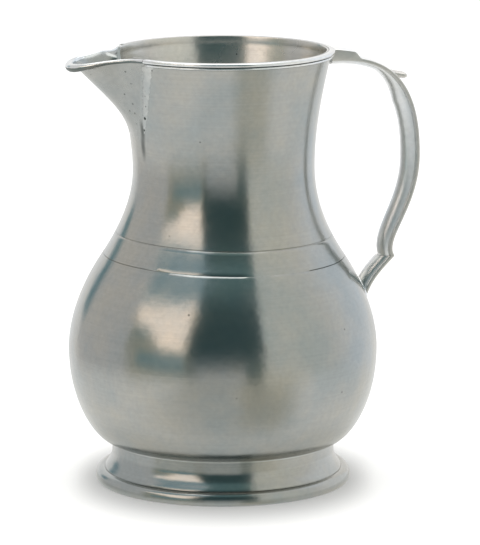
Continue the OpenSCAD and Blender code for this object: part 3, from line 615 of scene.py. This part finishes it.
def makeNeck():
    top, waistH = b["height"], b["neckZ"] - b["seamZ"]
    lineAt, half = shareAt(waistWall, b["lineZ"]), b["lineW"] / 2 / waistH
    bevelFrom, bevelTo, bottomFrom, bottomTo, edge = [lineAt + half * x for x in b["lineShape"]]
    seamHalf = b["seamW"] / 2 / waistH
    tongueShare = shareAt(shoulderWall, b["seamZ"] - b["lapH"] + b["lapGap"])
    seatR, boreR = b["lipR"] - band["seat"], b["lipR"] - b["wall"]
    outer, inner = b["outerRound"], b["innerRound"]
    points = np.concatenate([
        setBack(waistWall, seamHalf * b["seamBottom"][1], b["seamDepth"]),
        cubic(waistWall, between(seamHalf, bevelFrom, 8)),
        setBack(waistWall, bevelTo, b["bevelDepth"]),
        setBack(waistWall, between(bottomFrom, bottomTo, 2), b["lineDepth"]),
        cubic(waistWall, between(edge, 1, 36)),
        cubic(throatWall, between(1 / 40, 1, 40)),
        [[seatR, lipZ], [seatR, top - outer], [seatR - 0.3 * outer, top - 0.3 * outer], [seatR - outer, top],
         [boreR + inner, top], [boreR + 0.3 * inner, top - 0.3 * inner], [boreR, top - inner]],
        setBack(throatWall, between(1, 0, 30), b["wall"]),
        setBack(waistWall, between(0.97, 0, 28), b["wall"]),
        setBack(shoulderWall, between(1, tongueShare, 3), b["wall"]),
        setBack(shoulderWall, between(tongueShare, 1, 3), b["wall"] / 2 + b["lapGap"])])
    piece = turn("neck", points, turnedPewter, True, **{
        "Steps": 320, "Press Depth": hand["pressDepth"] * mm, "Press Height": hand["pressZ"] * mm,
        "Press Reach": hand["pressReach"] * mm})
    piece.data.materials.append(litInsidePewter)
    # painted light: the inside faces that are seen get the paler metal
    for p in piece.data.polygons:
        if p.normal.x * p.center.x + p.normal.y * p.center.y < 0 and p.center.z > b["brightFrom"] * mm:
            p.material_index = 1
    climb(wear(piece))
    cutter = notchCutter()
    cut = piece.modifiers.new("notch", "BOOLEAN")
    cut.object, cut.solver, cut.material_mode = cutter, "EXACT", "TRANSFER"
    bpy.context.view_layer.update()
    piece = plainMesh(piece, "neck")
    bpy.data.objects.remove(cutter)
    return dress(piece, "neck", turnedPewter)


band = {
    "r": reach("rim_band", 0), "beadH": 2.1, "lineH": 1.4, "lineBack": 0.5, "seat": 0.6, "gap": 0.1,
    "overlap": 0.2, "fade": 9.0,  # degrees by which it enters the spout, and in which the lower line runs out
    "shadeBelow": -0.6,  # faces that look down more than this get painted shade
}


def makeBand():
    top, lipR = b["height"], b["lipR"] * mm
    a = np.radians(between(-90, 90, 14))
    arc = np.stack([np.cos(a), np.sin(a)], 1)
    lower = [band["r"] - band["lineBack"] - band["lineH"] / 2, lipZ + band["gap"] + band["lineH"] / 2]
    upper = [band["r"] - band["beadH"] / 2, top - band["beadH"] / 2]
    seat = b["lipR"] - band["seat"]
    points = np.concatenate([[[seat, lipZ + band["gap"] / 2]], lower + arc * band["lineH"] / 2,
                             upper + arc * band["beadH"] / 2, [[seat, top - band["gap"] / 2]]])
    piece = turn("rimBand", points, rubbedLitPewter, True, **{
        "Start": math.radians(spout["angle"] - 180 - band["overlap"]),
        "Sweep": math.radians(360 - 2 * spout["angle"] + 2 * band["overlap"]), "Closed Ends": True})
    for v in piece.data.vertices:  # the lower line runs out into the wall beside the spout
        if v.co.z < (top - band["beadH"]) * mm:
            r = math.hypot(v.co.x, v.co.y)
            away = 180 - abs(math.degrees(math.atan2(v.co.y, v.co.x))) - spout["angle"]
            out = lipR + (r - lipR) * min(1, max(0, away / band["fade"])) ** 0.5
            v.co.x, v.co.y = v.co.x * min(r, out) / r, v.co.y * min(r, out) / r
    outward(piece)
    # faces under the bead that look down get painted shade
    piece.data.materials.append(underShadePewter)
    for p in piece.data.polygons:
        under = p.normal.z < band["shadeBelow"] and math.hypot(p.center.x, p.center.y) > lipR
        p.material_index = 1 if under else 0
    return dress(piece, "rim_band", rubbedLitPewter)


# spout: sections that leave the round neck straight and close in a rounded nose

spout = {
    "reach": 76.5, "drop": 4.6, "low": 173.0, "angle": 33.5, "lowAngle": 17.5, "round": 7.0, "leastTurn": 0.3,
    "wall": 1.8, "gap": 0.1, "sink": 0.12,
    "keelSwell": 16.3, "keelRun": 13.0, "keelClimb": 14.8, "nose": 20.0, "leave": 20.0,
    "lastShare": 0.93, "crowd": 1.6,  # rows crowd toward the lower end of the keel
    "sag": 1.5, "sagAt": 0.82, "sagSpread": 0.14, "sagFrom": 200.0, "sagOver": 20.0,  # the far lip sags
    "tipBead": 2.2, "beadFade": 1.6, "beadOut": 0.45, "leadFrom": 0.7, "leadOut": 1.4,
    "roll": (-118, 150), "lipBack": 0.9,  # turn of the rolled lip in degrees, and how far its back goes down
    "lipReach": 1.2, "shadeBelow": -0.1,  # faces this near to the bead are rubbed and painted lighter, and painted in shade this far under it
    "notchW": 40.0, "notchR": 8.0, "notchZ": 188.0, "notchOver": 2.0, "notchTo": 20.0,
    "pits": ((0.86, -0.76, 1.3), (0.72, -0.81, 1.0), (0.6, -0.64, 1.2), (0.48, -0.77, 1.4), (0.4, -0.62, 1.1),
             (0.37, -0.78, 1.3), (0.25, -0.79, 0.9), (0.87, -0.24, 0.8)),  # up the keel, across, width
}
s = spout
tipZ = b["height"] - s["drop"]


def smooth(x):
    x = np.clip(x, 0, 1)
    return x ** 2 * (3 - 2 * x)


def faceR(z, away):
    # radius of the neck's face at an angle from the spout, pressed in at the waist
    bell = np.exp(-((z - hand["pressZ"]) / hand["pressReach"]) ** 2)
    side = smooth((np.cos(away) - hand["pressFrom"]) / (1 - hand["pressFrom"]))
    return bodyR(z) - hand["pressDepth"] * bell * side


keelLow = float(faceR(s["low"], 0.0)) - s["sink"]
keel = [[keelLow, s["low"]], [keelLow, s["low"] + s["keelSwell"]],
        [s["reach"] - s["keelRun"], tipZ - s["keelClimb"]], [s["reach"], tipZ]]


def partUp(z):
    return (z - s["low"]) / (b["height"] - s["low"])


def skirt(z):
    # half the turn that the spout takes up on the neck, in degrees
    near = min(1, max(0, (z - s["low"]) / s["round"]))
    widest = s["lowAngle"] + (s["angle"] - s["lowAngle"]) * partUp(z)
    return widest * max(s["leastTurn"], math.sqrt(1 - (1 - near) ** 2))


def spoutSection(k, u):
    # points across the spout at share k of the keel, for shares u from -1 to 1
    q = cubic(keel, k)[0]
    z = s["low"] + (b["height"] - s["low"]) * (q[1] - s["low"]) / (tipZ - s["low"])
    a, part = math.radians(skirt(z)), partUp(z)
    r = float(faceR(z, a)) - s["sink"]
    third = r * a / 3
    start = np.array([-r * math.cos(a), r * math.sin(a), z])
    half = [[-q[0], 0, q[1]], [-q[0], third + (s["nose"] - third) * part, q[1]],
            start - (third + (s["leave"] - third) * part) * np.array([math.sin(a), math.cos(a), 0]), start]
    points = cubic(half, np.abs(u))
    points[:, 1] *= np.where(u < 0, -1, 1)
    return points


def spoutFace(u):
    # outer face in rows from the low end of the keel to the lip, and where it looks
    shares = np.append(s["lastShare"] * between(0, 1, 46) ** s["crowd"], 1.0)
    grid = np.array([spoutSection(k, u) for k in shares])
    high = np.clip((grid[..., 2] - s["sagFrom"]) / s["sagOver"], 0, 1) ** 2
    grid[..., 2] -= s["sag"] * high * np.exp(-((u - s["sagAt"]) / s["sagSpread"]) ** 2)
    normal = np.cross(np.gradient(grid, axis=1), np.gradient(grid, axis=0))
    normal /= np.linalg.norm(normal, axis=2, keepdims=True)
    middle = normal[len(shares) // 2, len(u) // 2]
    return grid, (-normal if middle[0] > 0 else normal)  # the keel looks toward -X


def widen(p, grow):
    return p * np.stack([grow, grow, np.ones_like(grow)], -1)


def offNeck(p):
    r, face = np.hypot(p[..., 0], p[..., 1]), bodyR(p[..., 2]) + s["gap"]
    return widen(p, np.where(r < face, face / r, 1))


def spoutInside(grid, normal):
    inner = grid - s["wall"] * normal
    inner[..., 2] = np.maximum(inner[..., 2], grid[..., 2])
    inner = offNeck(inner)
    # beside the notch the spout is solid down to the neck
    notchTop = b["height"] + s["notchOver"]
    edgeY = np.interp(inner[..., 2], [s["notchZ"], notchTop], [s["notchR"], s["notchW"] / 2])
    solid = (np.abs(inner[..., 1]) > edgeY) | (inner[..., 2] < s["notchZ"])
    face = faceR(inner[..., 2], np.arctan2(np.abs(inner[..., 1]), -inner[..., 0]))
    return widen(inner, np.where(solid, (face - 2 * s["sink"]) / np.hypot(inner[..., 0], inner[..., 1]), 1))


def makeSpout():
    u = np.sin(between(-1, 1, 121) * math.pi / 2)
    grid, normal = spoutFace(u)
    inner = spoutInside(grid, normal)
    top, lean = grid[-1], normal[-1].copy()
    lean[:, 2] = 0
    lean /= np.linalg.norm(lean, axis=1, keepdims=True)
    # the rolled lip thins toward the rim and leads over into its bead
    mix = (1 - np.cos(np.pi * np.minimum(1, s["beadFade"] * np.abs(u)))) / 2
    bead = (s["tipBead"] + (band["beadH"] / 2 - s["tipBead"]) * mix)[:, None]
    lead = smooth((np.abs(u) - s["leadFrom"]) / (1 - s["leadFrom"]))[:, None]
    centre = top - bead * [0, 0, 1] + (s["beadOut"] * bead * (1 - lead) + s["leadOut"] * lead) * lean
    roll = [centre + bead * (math.cos(a) * lean + np.array([0, 0, math.sin(a)]))
            for a in np.radians(between(*s["roll"], 19))]
    back = offNeck(top - bead * [0, 0, s["lipBack"]] - (s["wall"] - bead / 2) * lean)
    loops = np.array(list(grid[:-1]) + roll + [back] + list(inner[:-1][::-1]))
    rows, n = loops.shape[:2]
    faces = []
    for i in range(rows):
        j = (i + 1) % rows
        faces += [(i * n + c, i * n + c + 1, j * n + c + 1, j * n + c) for c in range(n - 1)]
    for c in (0, n - 1):  # the two edges on the neck
        for i in range(rows // 2 - 1):
            o = rows - 1 - i
            faces.append((i * n + c, (i + 1) * n + c, (o - 1) * n + c, o * n + c))
    piece = meshPiece("spout", loops.reshape(-1, 3), faces)
    pits = [(*spoutSection(k, np.array([across]))[0], width) for k, across, width in s["pits"]]
    # the spout's metal takes the painted shade beside the neck as well
    castPewter = makePewter("castPewter", pits, cornerShaded=True)
    for material in (castPewter, rubbedLitPewter, underShadePewter):
        piece.data.materials.append(material)
    for p in piece.data.polygons:  # the lip is rubbed bright and painted lighter, and painted shade lies under it
        off = np.array(p.center) / mm - centre
        i = int(np.argmin(np.linalg.norm(off, axis=1)))
        rise, out = off[i, 2] / bead[i, 0], off[i] @ lean[i]
        if np.linalg.norm(off[i]) < s["lipReach"] * bead[i, 0] and (rise > 0 or out > 0):
            p.material_index = 1 if rise > s["shadeBelow"] else 2
    return dress(piece, "spout", castPewter, 50)


# solder run along both edges of the spout

run = {
    "from": 8.0, "below": 2.3, "turn": 2.4,  # above the keel's end, under the rim, degrees outside
    "w": 4.4, "h": 0.42, "film": 0.12, "root": 0.5, "taper": 0.35, "end": 0.25,
    "waves": ((0.1, 1.7, 0), (0.06, 3.9, 1)),  # share of the width, radians per mm, start
    "lump": 0.2, "lumpSize": 1.5, "seed": 2.0,
}


def lumpTree():
    # solder that set in lumps
    tree, given = newTree("lumps", "Run", {"Height": ("Float", 0.0), "Size": ("Float", mm),
                                           "Seed": ("Float", 0.0)}, "Solder")
    often = addNode(tree, "ShaderNodeMath", {0: 1.0, 1: given["Size"]}, operation="DIVIDE")
    noise = addNode(tree, "ShaderNodeTexNoise", {
        "Vector": addNode(tree, "GeometryNodeInputPosition"), "W": given["Seed"], "Scale": often,
        "Detail": 2.0}, noise_dimensions="4D")
    centred = addNode(tree, "ShaderNodeMath", {0: noise, 1: 0.5}, operation="SUBTRACT")
    rise = addNode(tree, "ShaderNodeMath", {0: centred, 1: given["Height"]}, operation="MULTIPLY")
    twice = addNode(tree, "ShaderNodeMath", {0: rise, 1: 2.0}, operation="MULTIPLY")
    shift = addNode(tree, "ShaderNodeVectorMath", {
        0: addNode(tree, "GeometryNodeInputNormal"), "Scale": twice}, operation="SCALE")
    moved = addNode(tree, "GeometryNodeSetPosition", {"Geometry": given["Run"], "Offset": shift})
    return endTree(tree, moved, given["Metal"], "Solder")


def makeSpoutSolder():
    z = between(s["low"] + run["from"], b["height"] - run["below"], 90)
    a = np.radians([skirt(q) + run["turn"] for q in z])
    r = faceR(z, a)
    part = between(0, 1, len(z))
    ends = np.sqrt(np.minimum(1, part / run["end"] + 0.02))
    ripple = 1 + sum(share * np.sin(often * z + start) for share, often, start in run["waves"])
    wide = run["w"] * (run["taper"] + (1 - run["taper"]) * part) * ends * ripple
    v = between(-1, 1, 15)
    bars = []
    for side in (-1, 1):
        rings = []
        for i in range(len(z)):
            at = a[i] + v * wide[i] / r[i]
            top = r[i] - run["film"] + (run["h"] + run["film"]) * ends[i] * (1 - v ** 2) ** 1.5
            low = r[i] - run["root"]
            level = np.full(len(v), z[i])
            outside = np.stack([-top * np.cos(at), side * top * np.sin(at), level], 1)
            inside = np.stack([-low * np.cos(at), side * low * np.sin(at), level], 1)
            rings.append(np.concatenate([outside, inside[::-1]]))
        bars.append(rings)
    piece = runTree(loft("solderRun", *bars), lumpTree(), {
        "Height": run["lump"] * mm, "Size": run["lumpSize"] * mm, "Seed": run["seed"], "Metal": tinSolder},
        "spoutSolder")
    return dress(piece, "spout_solder", tinSolder, 60)


print("body")
makeFoot()
makeBowl()
makeShoulder()
makeNeck()
makeBand()
makeSpout()
makeSpoutSolder()

# handle

handle = {
    "reach": reach("handle_grip", 0) - 0.4, "reachZ": 164.0, "drop": 5.0, "rootGap": 0.1, "rootInto": 1.6,
    "armRun": 33.5, "armLift": 1.2, "bend": 32.0, "swell": 27.35,
    "knuckleReach": 88.2, "knuckleZ": 112.3, "knuckleRise": 9.3, "knuckleTuck": 5.7,
    "w": 13.0, "flange": 1.9, "crown": 0.4, "edge": 0.45, "gripW": 10.4, "armInset": 0.6,
    "armDepth": 4.0, "gripDepth": 8.8, "lowDepth": 7.8, "knuckleDepth": 6.6,
    "deepens": (0.3, 0.62), "narrows": (0.12, 0.4),  # shares of the upper part
    "sideFacing": 0.8, "sideDepth": 0.2,  # what counts as the flat side of the flange
    "blockH": 4.1, "blockFall": 1.1, "blockL": 10.0, "blockSlope": 4.0,
    "strutDepth": 6.3, "strutZ": 92.0, "strutRun": 6.2, "strutFall": 6.6, "strutDrop": 9.0, "strutGap": 0.1,
    "strutSpan": (0.25, 1.08),
}
g = handle
rootR, rootZ = band["r"] + g["rootGap"], b["height"] - g["drop"]
back, knuckle = [g["reach"], g["reachZ"]], [g["knuckleReach"], g["knuckleZ"]]
upperBack = [[rootR, rootZ], [rootR + g["armRun"], rootZ + g["armLift"]],
             [g["reach"], g["reachZ"] + g["bend"]], back]
lowerBack = [back, [g["reach"], g["reachZ"] - g["swell"]],
             [g["knuckleReach"] - g["knuckleTuck"], g["knuckleZ"] + g["knuckleRise"]], knuckle]
strutEnd = np.array([float(bodyR(g["strutZ"])), g["strutZ"]])
strutBack = [knuckle, [g["knuckleReach"] - g["strutRun"], g["knuckleZ"] - g["strutFall"]],
             strutEnd + [g["strutDrop"] / 3, g["strutDrop"]], strutEnd]


def handleRing(at, d, depth, bellyW, rise=0.0):
    # flat flange on the back with rounded corners, rounded belly inside
    n = np.array([-d[1], d[0]])
    e, halfW = g["edge"], g["w"] / 2
    corner = np.radians(between(0, 90, 5))
    right = [[rise + g["crown"] * (1 - t ** 2), (halfW - e) * t] for t in between(0, 1, 6)[:-1]]
    right += [[rise - e + e * math.cos(a), halfW - e + e * math.sin(a)] for a in corner]
    right += [[-g["flange"] + e - e * math.sin(a), halfW - e + e * math.cos(a)] for a in corner]
    right += [[-g["flange"] - (depth - g["flange"]) * math.sin(a), bellyW / 2 * math.cos(a)]
              for a in np.radians(between(4, 90, 13))]
    full = right + [[p[0], -p[1]] for p in right[-2:0:-1]]
    return [[at[0] + n[0] * p[0], p[1], at[1] + n[1] * p[0]] for p in full]


def cutLevel(ring, d, z):
    # slides the points of a ring along the handle until all lie at one height
    ring = np.array(ring)
    shift = (z - ring[:, 2]) / d[1]
    return (ring + shift[:, None] * np.array([d[0], 0, d[1]])).tolist()


def shadeFlatSides(piece):
    # painted shade: the flat sides of the flange, picked by the way they face, get the darker metal
    piece.data.materials.append(litHandlePewter)
    piece.data.materials.append(shadedFlangePewter)
    for p in piece.data.polygons:
        flat = abs(p.normal.y) > g["sideFacing"] and abs(p.center.y) > (g["w"] / 2 - g["sideDepth"]) * mm
        p.material_index = 1 if flat else 0
    return piece


def makeGrip():
    arm, grip, armW = g["armDepth"], g["gripDepth"], g["w"] - g["armInset"]
    rings = [handleRing([rootR - g["rootInto"], rootZ], np.array([1.0, 0]), arm, armW, g["blockH"])]
    for u in np.concatenate([between(0, 0.3, 26), between(0.31, 1, 54)]):
        at, d = along(upperBack, u)
        depth = float(np.interp(u, g["deepens"], [arm, grip]))
        bellyW = float(np.interp(u, g["narrows"], [armW, g["gripW"]]))
        x = at[0] - rootR
        top = g["blockH"] - g["blockFall"] * min(1, max(0, x) / g["blockL"])
        rise = top * (1 - smooth((x - g["blockL"]) / g["blockSlope"]))
        rings.append(handleRing(at, d, depth, bellyW, rise))
    for u in between(0, 1, 60)[1:]:
        at, d = along(lowerBack, u)
        depth = float(np.interp(u, [0, 0.5, 1], [grip, g["lowDepth"], g["knuckleDepth"]]))
        rings.append(handleRing(at, d, depth, g["gripW"]))
    last = cutLevel(rings[-1], headingOf(lowerBack, 1)[0], g["knuckleZ"])
    # rings that the level cut has overtaken are dropped
    keep = [r for r in rings[:-1] if min(p[2] for p in r) > g["knuckleZ"] + 0.2]
    return dress(shadeFlatSides(loft("handleGrip", keep + [last])), "handle_grip", litHandlePewter, 35)


def makeStrut():
    head = headingOf(strutBack, 0)[0]
    first = handleRing(cubic(strutBack, 0)[0], head, g["strutDepth"], g["gripW"])
    rings = [cutLevel(first, head, g["knuckleZ"] - g["strutGap"])]
    for u in between(*g["strutSpan"], 30):
        at, d = cubic(strutBack, u)[0], headingOf(strutBack, min(u, 1))[0]
        rings.append(handleRing(at, d, g["strutDepth"], g["gripW"]))
    return dress(shadeFlatSides(loft("handleStrut", rings)), "handle_strut", litHandlePewter, 35)


spur = {
    "from": 0.365, "w": 9.0, "thick": 3.4, "thin": 0.5, "proud": 0.1,  # share of the arm, and sizes in mm
    "tip": (-1.4, 0.8), "leave": 2.6, "curl": (-3.6, 0.4), "roundFrom": 0.84, "square": (0.45, 0.7),
    "tipW": 0.75,
}


def makeSpur():
    # a leaf that leaves the back of the arm along it and curls up
    tip = np.array([reach("thumb_spur", 0), reach("thumb_spur", 2)]) + spur["tip"]
    start, d = along(upperBack, spur["from"])
    path = [start, start + spur["leave"] * d, tip + spur["curl"], tip]
    a = np.radians(np.arange(0, 360, 15))
    across = np.sign(np.cos(a)) * np.abs(np.cos(a)) ** spur["square"][0]
    through = np.sign(np.sin(a)) * np.abs(np.sin(a)) ** spur["square"][1]
    first = spur["roundFrom"]
    nose = first + (1 - first) * np.sin(np.radians(between(10, 88, 9)))
    rings = []
    for t in np.append(between(0, first, 18), nose):
        at, d = along(path, t)
        n = np.array([-d[1], d[0]])
        end = math.sqrt(max(0.02, 1 - max(0, (t - first) / (1 - first)) ** 2))
        full = spur["thick"] - spur["thin"] * t
        halfW = spur["w"] / 2 * (spur["tipW"] + (1 - spur["tipW"]) * end)
        mid = at + n * (spur["proud"] - full / 2)
        rings.append(np.stack([mid[0] + n[0] * through * full * end / 2, halfW * across,
                               mid[1] + n[1] * through * full * end / 2], 1))
    # the spur is painted in the darker, shaded metal of the flange
    return dress(loft("thumbSpur", rings), "thumb_spur", shadedFlangePewter, 50)


rootFill = {"rise": 1.1, "over": 0.6, "inset": 1.6, "intoNeck": 0.4, "intoArm": 0.6}


def makeRootSolder():
    # sits in the corner under the rim, behind the arm
    low, high = rootZ - g["armDepth"] + rootFill["rise"], rootZ + rootFill["over"]
    halfW = g["gripW"] / 2 - rootFill["inset"]
    rings = [[(r, -halfW, low), (r, halfW, low), (r, halfW, high), (r, -halfW, high)]
             for r in between(b["lipR"] - rootFill["intoNeck"], rootR + rootFill["intoArm"], 5)]
    return dress(loft("handleRootSolder", rings), "handle_root_solder", litHandlePewter)


makeGrip()
makeStrut()
makeSpur()
makeRootSolder()
print("handle")

for node, material in (("foot_solder", tinSolder), ("belly_solder", tinSolder), ("neck_solder", tinSolder),
                       ("handle_strut_solder", litHandlePewter)):
    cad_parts[node].data.materials[0] = material

# stage

studio = {
    "camera": (-410.2, -1929.7, 481.5), "pitch": 10.775, "turn": -12.254, "lens": 262.0, "sensor": 36.0,
    "viewTurn": 12.0,  # turn of the mirrored room about the jug
    "floorHalf": 9000.0, "floorColour": "#e6e6e4", "floorLift": 0.3, "mirroredShade": "#a8a99e",
    # shaded spots of the mirrored floor: place, full to, fades over, depth
    "shades": (((-42, -196, 0), 60, 130, 0.48), ((0, 0, 0), 62, 60, 0.38)),
    "contact": {"from": 63.0, "across": 17.0, "deep": 62.0, "depth": 0.34},  # shade round the foot
    "lampAt": (0, 300, 1800), "lampSize": 1600.0, "lampPower": 12.0,
}


def contactShade(tree, place):
    # the shade close to the foot reaches further toward the camera than to the sides
    c, angle = studio["contact"], math.radians(-studio["turn"])
    away = addNode(tree, "ShaderNodeVectorMath", {0: place}, operation="LENGTH")
    heading = addNode(tree, "ShaderNodeVectorMath", {0: place}, operation="NORMALIZE")
    deep = addNode(tree, "ShaderNodeVectorMath", {
        0: heading, 1: (math.sin(angle), math.cos(angle), 0)}, operation="DOT_PRODUCT")
    square = addNode(tree, "ShaderNodeMath", {
        0: deep.outputs["Value"], 1: deep.outputs["Value"]}, operation="MULTIPLY")
    span = addNode(tree, "ShaderNodeMapRange", {
        "Value": square, "To Min": c["across"] * mm, "To Max": c["deep"] * mm})
    past = addNode(tree, "ShaderNodeMath", {
        0: away.outputs["Value"], 1: c["from"] * mm}, operation="SUBTRACT")
    share = addNode(tree, "ShaderNodeMath", {0: past, 1: span}, operation="DIVIDE")
    return addNode(tree, "ShaderNodeMapRange", {
        "Value": share, "To Min": 1 - c["depth"], "To Max": 1.0}, interpolation_type="SMOOTHSTEP")


def mirroredFloor(tree, place):
    # the metal looks through the floor to the table in the world, apart from two shaded spots
    shades = []
    for spot, inner, spread, depth in studio["shades"]:
        off = addNode(tree, "ShaderNodeVectorMath", {0: place, 1: Vector(spot) * mm}, operation="DISTANCE")
        shades.append(addNode(tree, "ShaderNodeMapRange", {
            "Value": off.outputs["Value"], "From Min": (inner + spread) * mm, "From Max": inner * mm,
            "To Max": depth}, interpolation_type="SMOOTHSTEP"))
    shade = addNode(tree, "ShaderNodeMath", {0: shades[0], 1: shades[1]}, operation="MAXIMUM")
    clear = addNode(tree, "ShaderNodeBsdfTransparent")
    dim = addNode(tree, "ShaderNodeEmission", {"Color": linear(studio["mirroredShade"])})
    return addNode(tree, "ShaderNodeMixShader", {0: shade, 1: clear, 2: dim})


def makeFloor():
    half = studio["floorHalf"] * mm
    mesh = bpy.data.meshes.new("floor")
    corners = [(-half, -half, 0), (half, -half, 0), (half, half, 0), (-half, half, 0)]
    mesh.from_pydata(corners, [], [(0, 1, 2, 3)])
    floor = link("floor", mesh)
    material = bpy.data.materials.new("paleFloor")  # matt, and a little lifted where the camera sees it
    tree = emptyTree(material)
    path = addNode(tree, "ShaderNodeLightPath")
    place = addNode(tree, "ShaderNodeTexCoord").outputs["Object"]
    keep = contactShade(tree, place)
    pale = addNode(tree, "ShaderNodeVectorMath", {
        0: linear(studio["floorColour"])[:3], "Scale": keep}, operation="SCALE")
    matt = addNode(tree, "ShaderNodeBsdfDiffuse", {"Color": pale})
    lift = addNode(tree, "ShaderNodeMath", {
        0: path.outputs["Is Camera Ray"], 1: studio["floorLift"]}, operation="MULTIPLY")
    strength = addNode(tree, "ShaderNodeMath", {0: lift, 1: keep}, operation="MULTIPLY")
    glow = addNode(tree, "ShaderNodeEmission", {"Color": (1, 1, 1, 1), "Strength": strength})
    both = addNode(tree, "ShaderNodeAddShader", {0: matt, 1: glow})
    final = addNode(tree, "ShaderNodeMixShader", {
        0: path.outputs["Is Glossy Ray"], 1: both, 2: mirroredFloor(tree, place)})
    addNode(tree, "ShaderNodeOutputMaterial", {"Surface": final})
    mesh.materials.append(material)


# what the metal mirrors: corners in degrees right of the camera and above the level, anticlockwise from the
# lower left, how soft the edges are (all four, or lower, right, upper and left), colour and strength
cards = {
    "rightScreen": (((38, -16), (146, -16), (146, 89), (38, 89)), 6, "#fafaf8", 0.96),
    "rightSoft": (((24, -18), (82, -18), (82, 62), (24, 62)), (4, 40, 20, 4), "#eaece6", 1.03),
    "rightFar": (((104, -18), (150, -18), (150, 62), (104, 62)), (4, 6, 20, 30), "#f1f6fc", 1.12),
    "leftScreen": (((-140, -16), (-60, -16), (-60, 89), (-140, 89)), 6, "#dedede", 1.0),
    "leftEdge": (((-144, 2), (-133, 2), (-133, 18), (-144, 18)), 6, "#7199a4", 1.0),
    "table": (((-179, -89), (179, -89), (179, -14), (-179, -14)), 6, "#f6f7f6", 1.1),
    "tableRight": (((16, -50), (58, -50), (58, -13), (16, -13)), (20, 24, 4, 16), "#e4e4da", 0.95),
    "wall": (((-76, -14), (-20, -14), (-20, 40), (-76, 30)), 4, "#c9cabc", 0.8),
    "above": (((-80, 28), (-20, 42), (-20, 60), (-80, 52)), 5, "#99b8c2", 1.0),
    "darkLow": (((-27, -8), (30, -8), (31, 30), (-25, 30)), (40, 6, 2, 4), "#3e595b", 1.0),
    "darkRoom": (((-25, 8), (31, 8), (31.5, 34), (-22.5, 34)), (14, 3, 0.5, 3), "#3e595b", 1.0),
    "darkAbove": (((-22.5, 34), (31.5, 34), (47, 76), (-17, 76)), (0.5, 3, 10, 3), "#3e595b", 1.0),
    "ceiling": (((-22, 47), (38, 47), (49, 78), (-16, 78)), (16, 3, 10, 3), "#6f9091", 1.0),
    "darkRight": (((18, -15), (30, -15), (30.5, 3), (18, 3)), 3, "#5b7273", 1.0),
    "window": (((-70, 11), (-29.5, 9.5), (-24.5, 43.6), (-79, 31)), 2.5, "#ffefe2", 1.75),
    "pane": (((-76, 4), (-50, 7), (-52, 16), (-76, 22)), 6, "#bcb9a8", 1.0),
    "curtain": (((-74, 14), (-60, 14), (-58, 20), (-74, 21)), 5, "#7f9c9e", 1.0),
    "sill": (((-68, -5), (-29, -8), (-29, 8), (-68, 5.5)), 4, "#79a1aa", 1.0),
}


def cardCover(tree, seen, outlined, soft):
    # how much of a card covers a direction: the product over its four soft edges
    corners = [np.radians(c) for c in outlined]
    edges = soft if isinstance(soft, tuple) else (soft,) * 4
    cover = 1.0
    for a, c, width in zip(corners, corners[1:] + corners[:1], np.radians(edges)):
        inward = np.array([a[1] - c[1], c[0] - a[0]]) / np.hypot(*(c - a))
        depth = addNode(tree, "ShaderNodeVectorMath", {0: seen, 1: (*inward, 0)}, operation="DOT_PRODUCT")
        edge = float(inward @ a)
        inside = addNode(tree, "ShaderNodeMapRange", {
            "Value": depth.outputs["Value"], "From Min": edge - width / 2, "From Max": edge + width / 2},
            interpolation_type="SMOOTHSTEP")
        cover = addNode(tree, "ShaderNodeMath", {0: cover, 1: inside}, operation="MULTIPLY")
    return cover


def makeWorld():
    world = bpy.data.worlds.new("studio")
    bpy.context.scene.world = world
    tree = emptyTree(world)
    way = addNode(tree, "ShaderNodeTexCoord").outputs["Generated"]
    facing = addNode(tree, "ShaderNodeVectorRotate", {
        "Vector": way, "Angle": math.radians(studio["viewTurn"])}, rotation_type="Z_AXIS")
    part = addNode(tree, "ShaderNodeSeparateXYZ", {0: facing})
    toward = addNode(tree, "ShaderNodeMath", {0: part.outputs["Y"], 1: -1.0}, operation="MULTIPLY")
    turnAngle = addNode(tree, "ShaderNodeMath", {0: part.outputs["X"], 1: toward}, operation="ARCTAN2")
    riseAngle = addNode(tree, "ShaderNodeMath", {0: part.outputs["Z"]}, operation="ARCSINE")
    seen = addNode(tree, "ShaderNodeCombineXYZ", {"X": turnAngle, "Y": riseAngle})
    colour = (1, 1, 1, 1)
    for corners, soft, tint, level in cards.values():
        cover = cardCover(tree, seen, corners, soft)
        shade = [c * level for c in linear(tint)[:3]] + [1.0]
        colour = addNode(tree, "ShaderNodeMix", {0: cover, 6: colour, 7: shade}, data_type="RGBA").outputs[2]
    path = addNode(tree, "ShaderNodeLightPath")
    mirrored = addNode(tree, "ShaderNodeBackground", {"Color": colour, "Strength": 1.0})
    white = addNode(tree, "ShaderNodeBackground", {"Color": (1, 1, 1, 1), "Strength": 1.0})
    final = addNode(tree, "ShaderNodeMixShader", {0: path.outputs["Is Glossy Ray"], 1: white, 2: mirrored})
    addNode(tree, "ShaderNodeOutputWorld", {"Surface": final})


def makeCamera():
    data = bpy.data.cameras.new("camera")
    data.lens, data.sensor_width = studio["lens"], studio["sensor"]
    camera = link("camera", data)
    camera.location = Vector(studio["camera"]) * mm
    camera.rotation_euler = (math.radians(90 - studio["pitch"]), 0, math.radians(studio["turn"]))
    bpy.context.scene.camera = camera


def makeLamp():
    # one broad soft lamp overhead
    data = bpy.data.lights.new("overhead", "AREA")
    data.shape, data.energy = "SQUARE", studio["lampPower"]
    data.size = studio["lampSize"] * mm
    lamp = link("overhead", data)
    lamp.location = Vector(studio["lampAt"]) * mm


makeFloor()
makeWorld()
makeCamera()
makeLamp()
bpy.context.scene.view_settings.view_transform = "Standard"
print("stage")
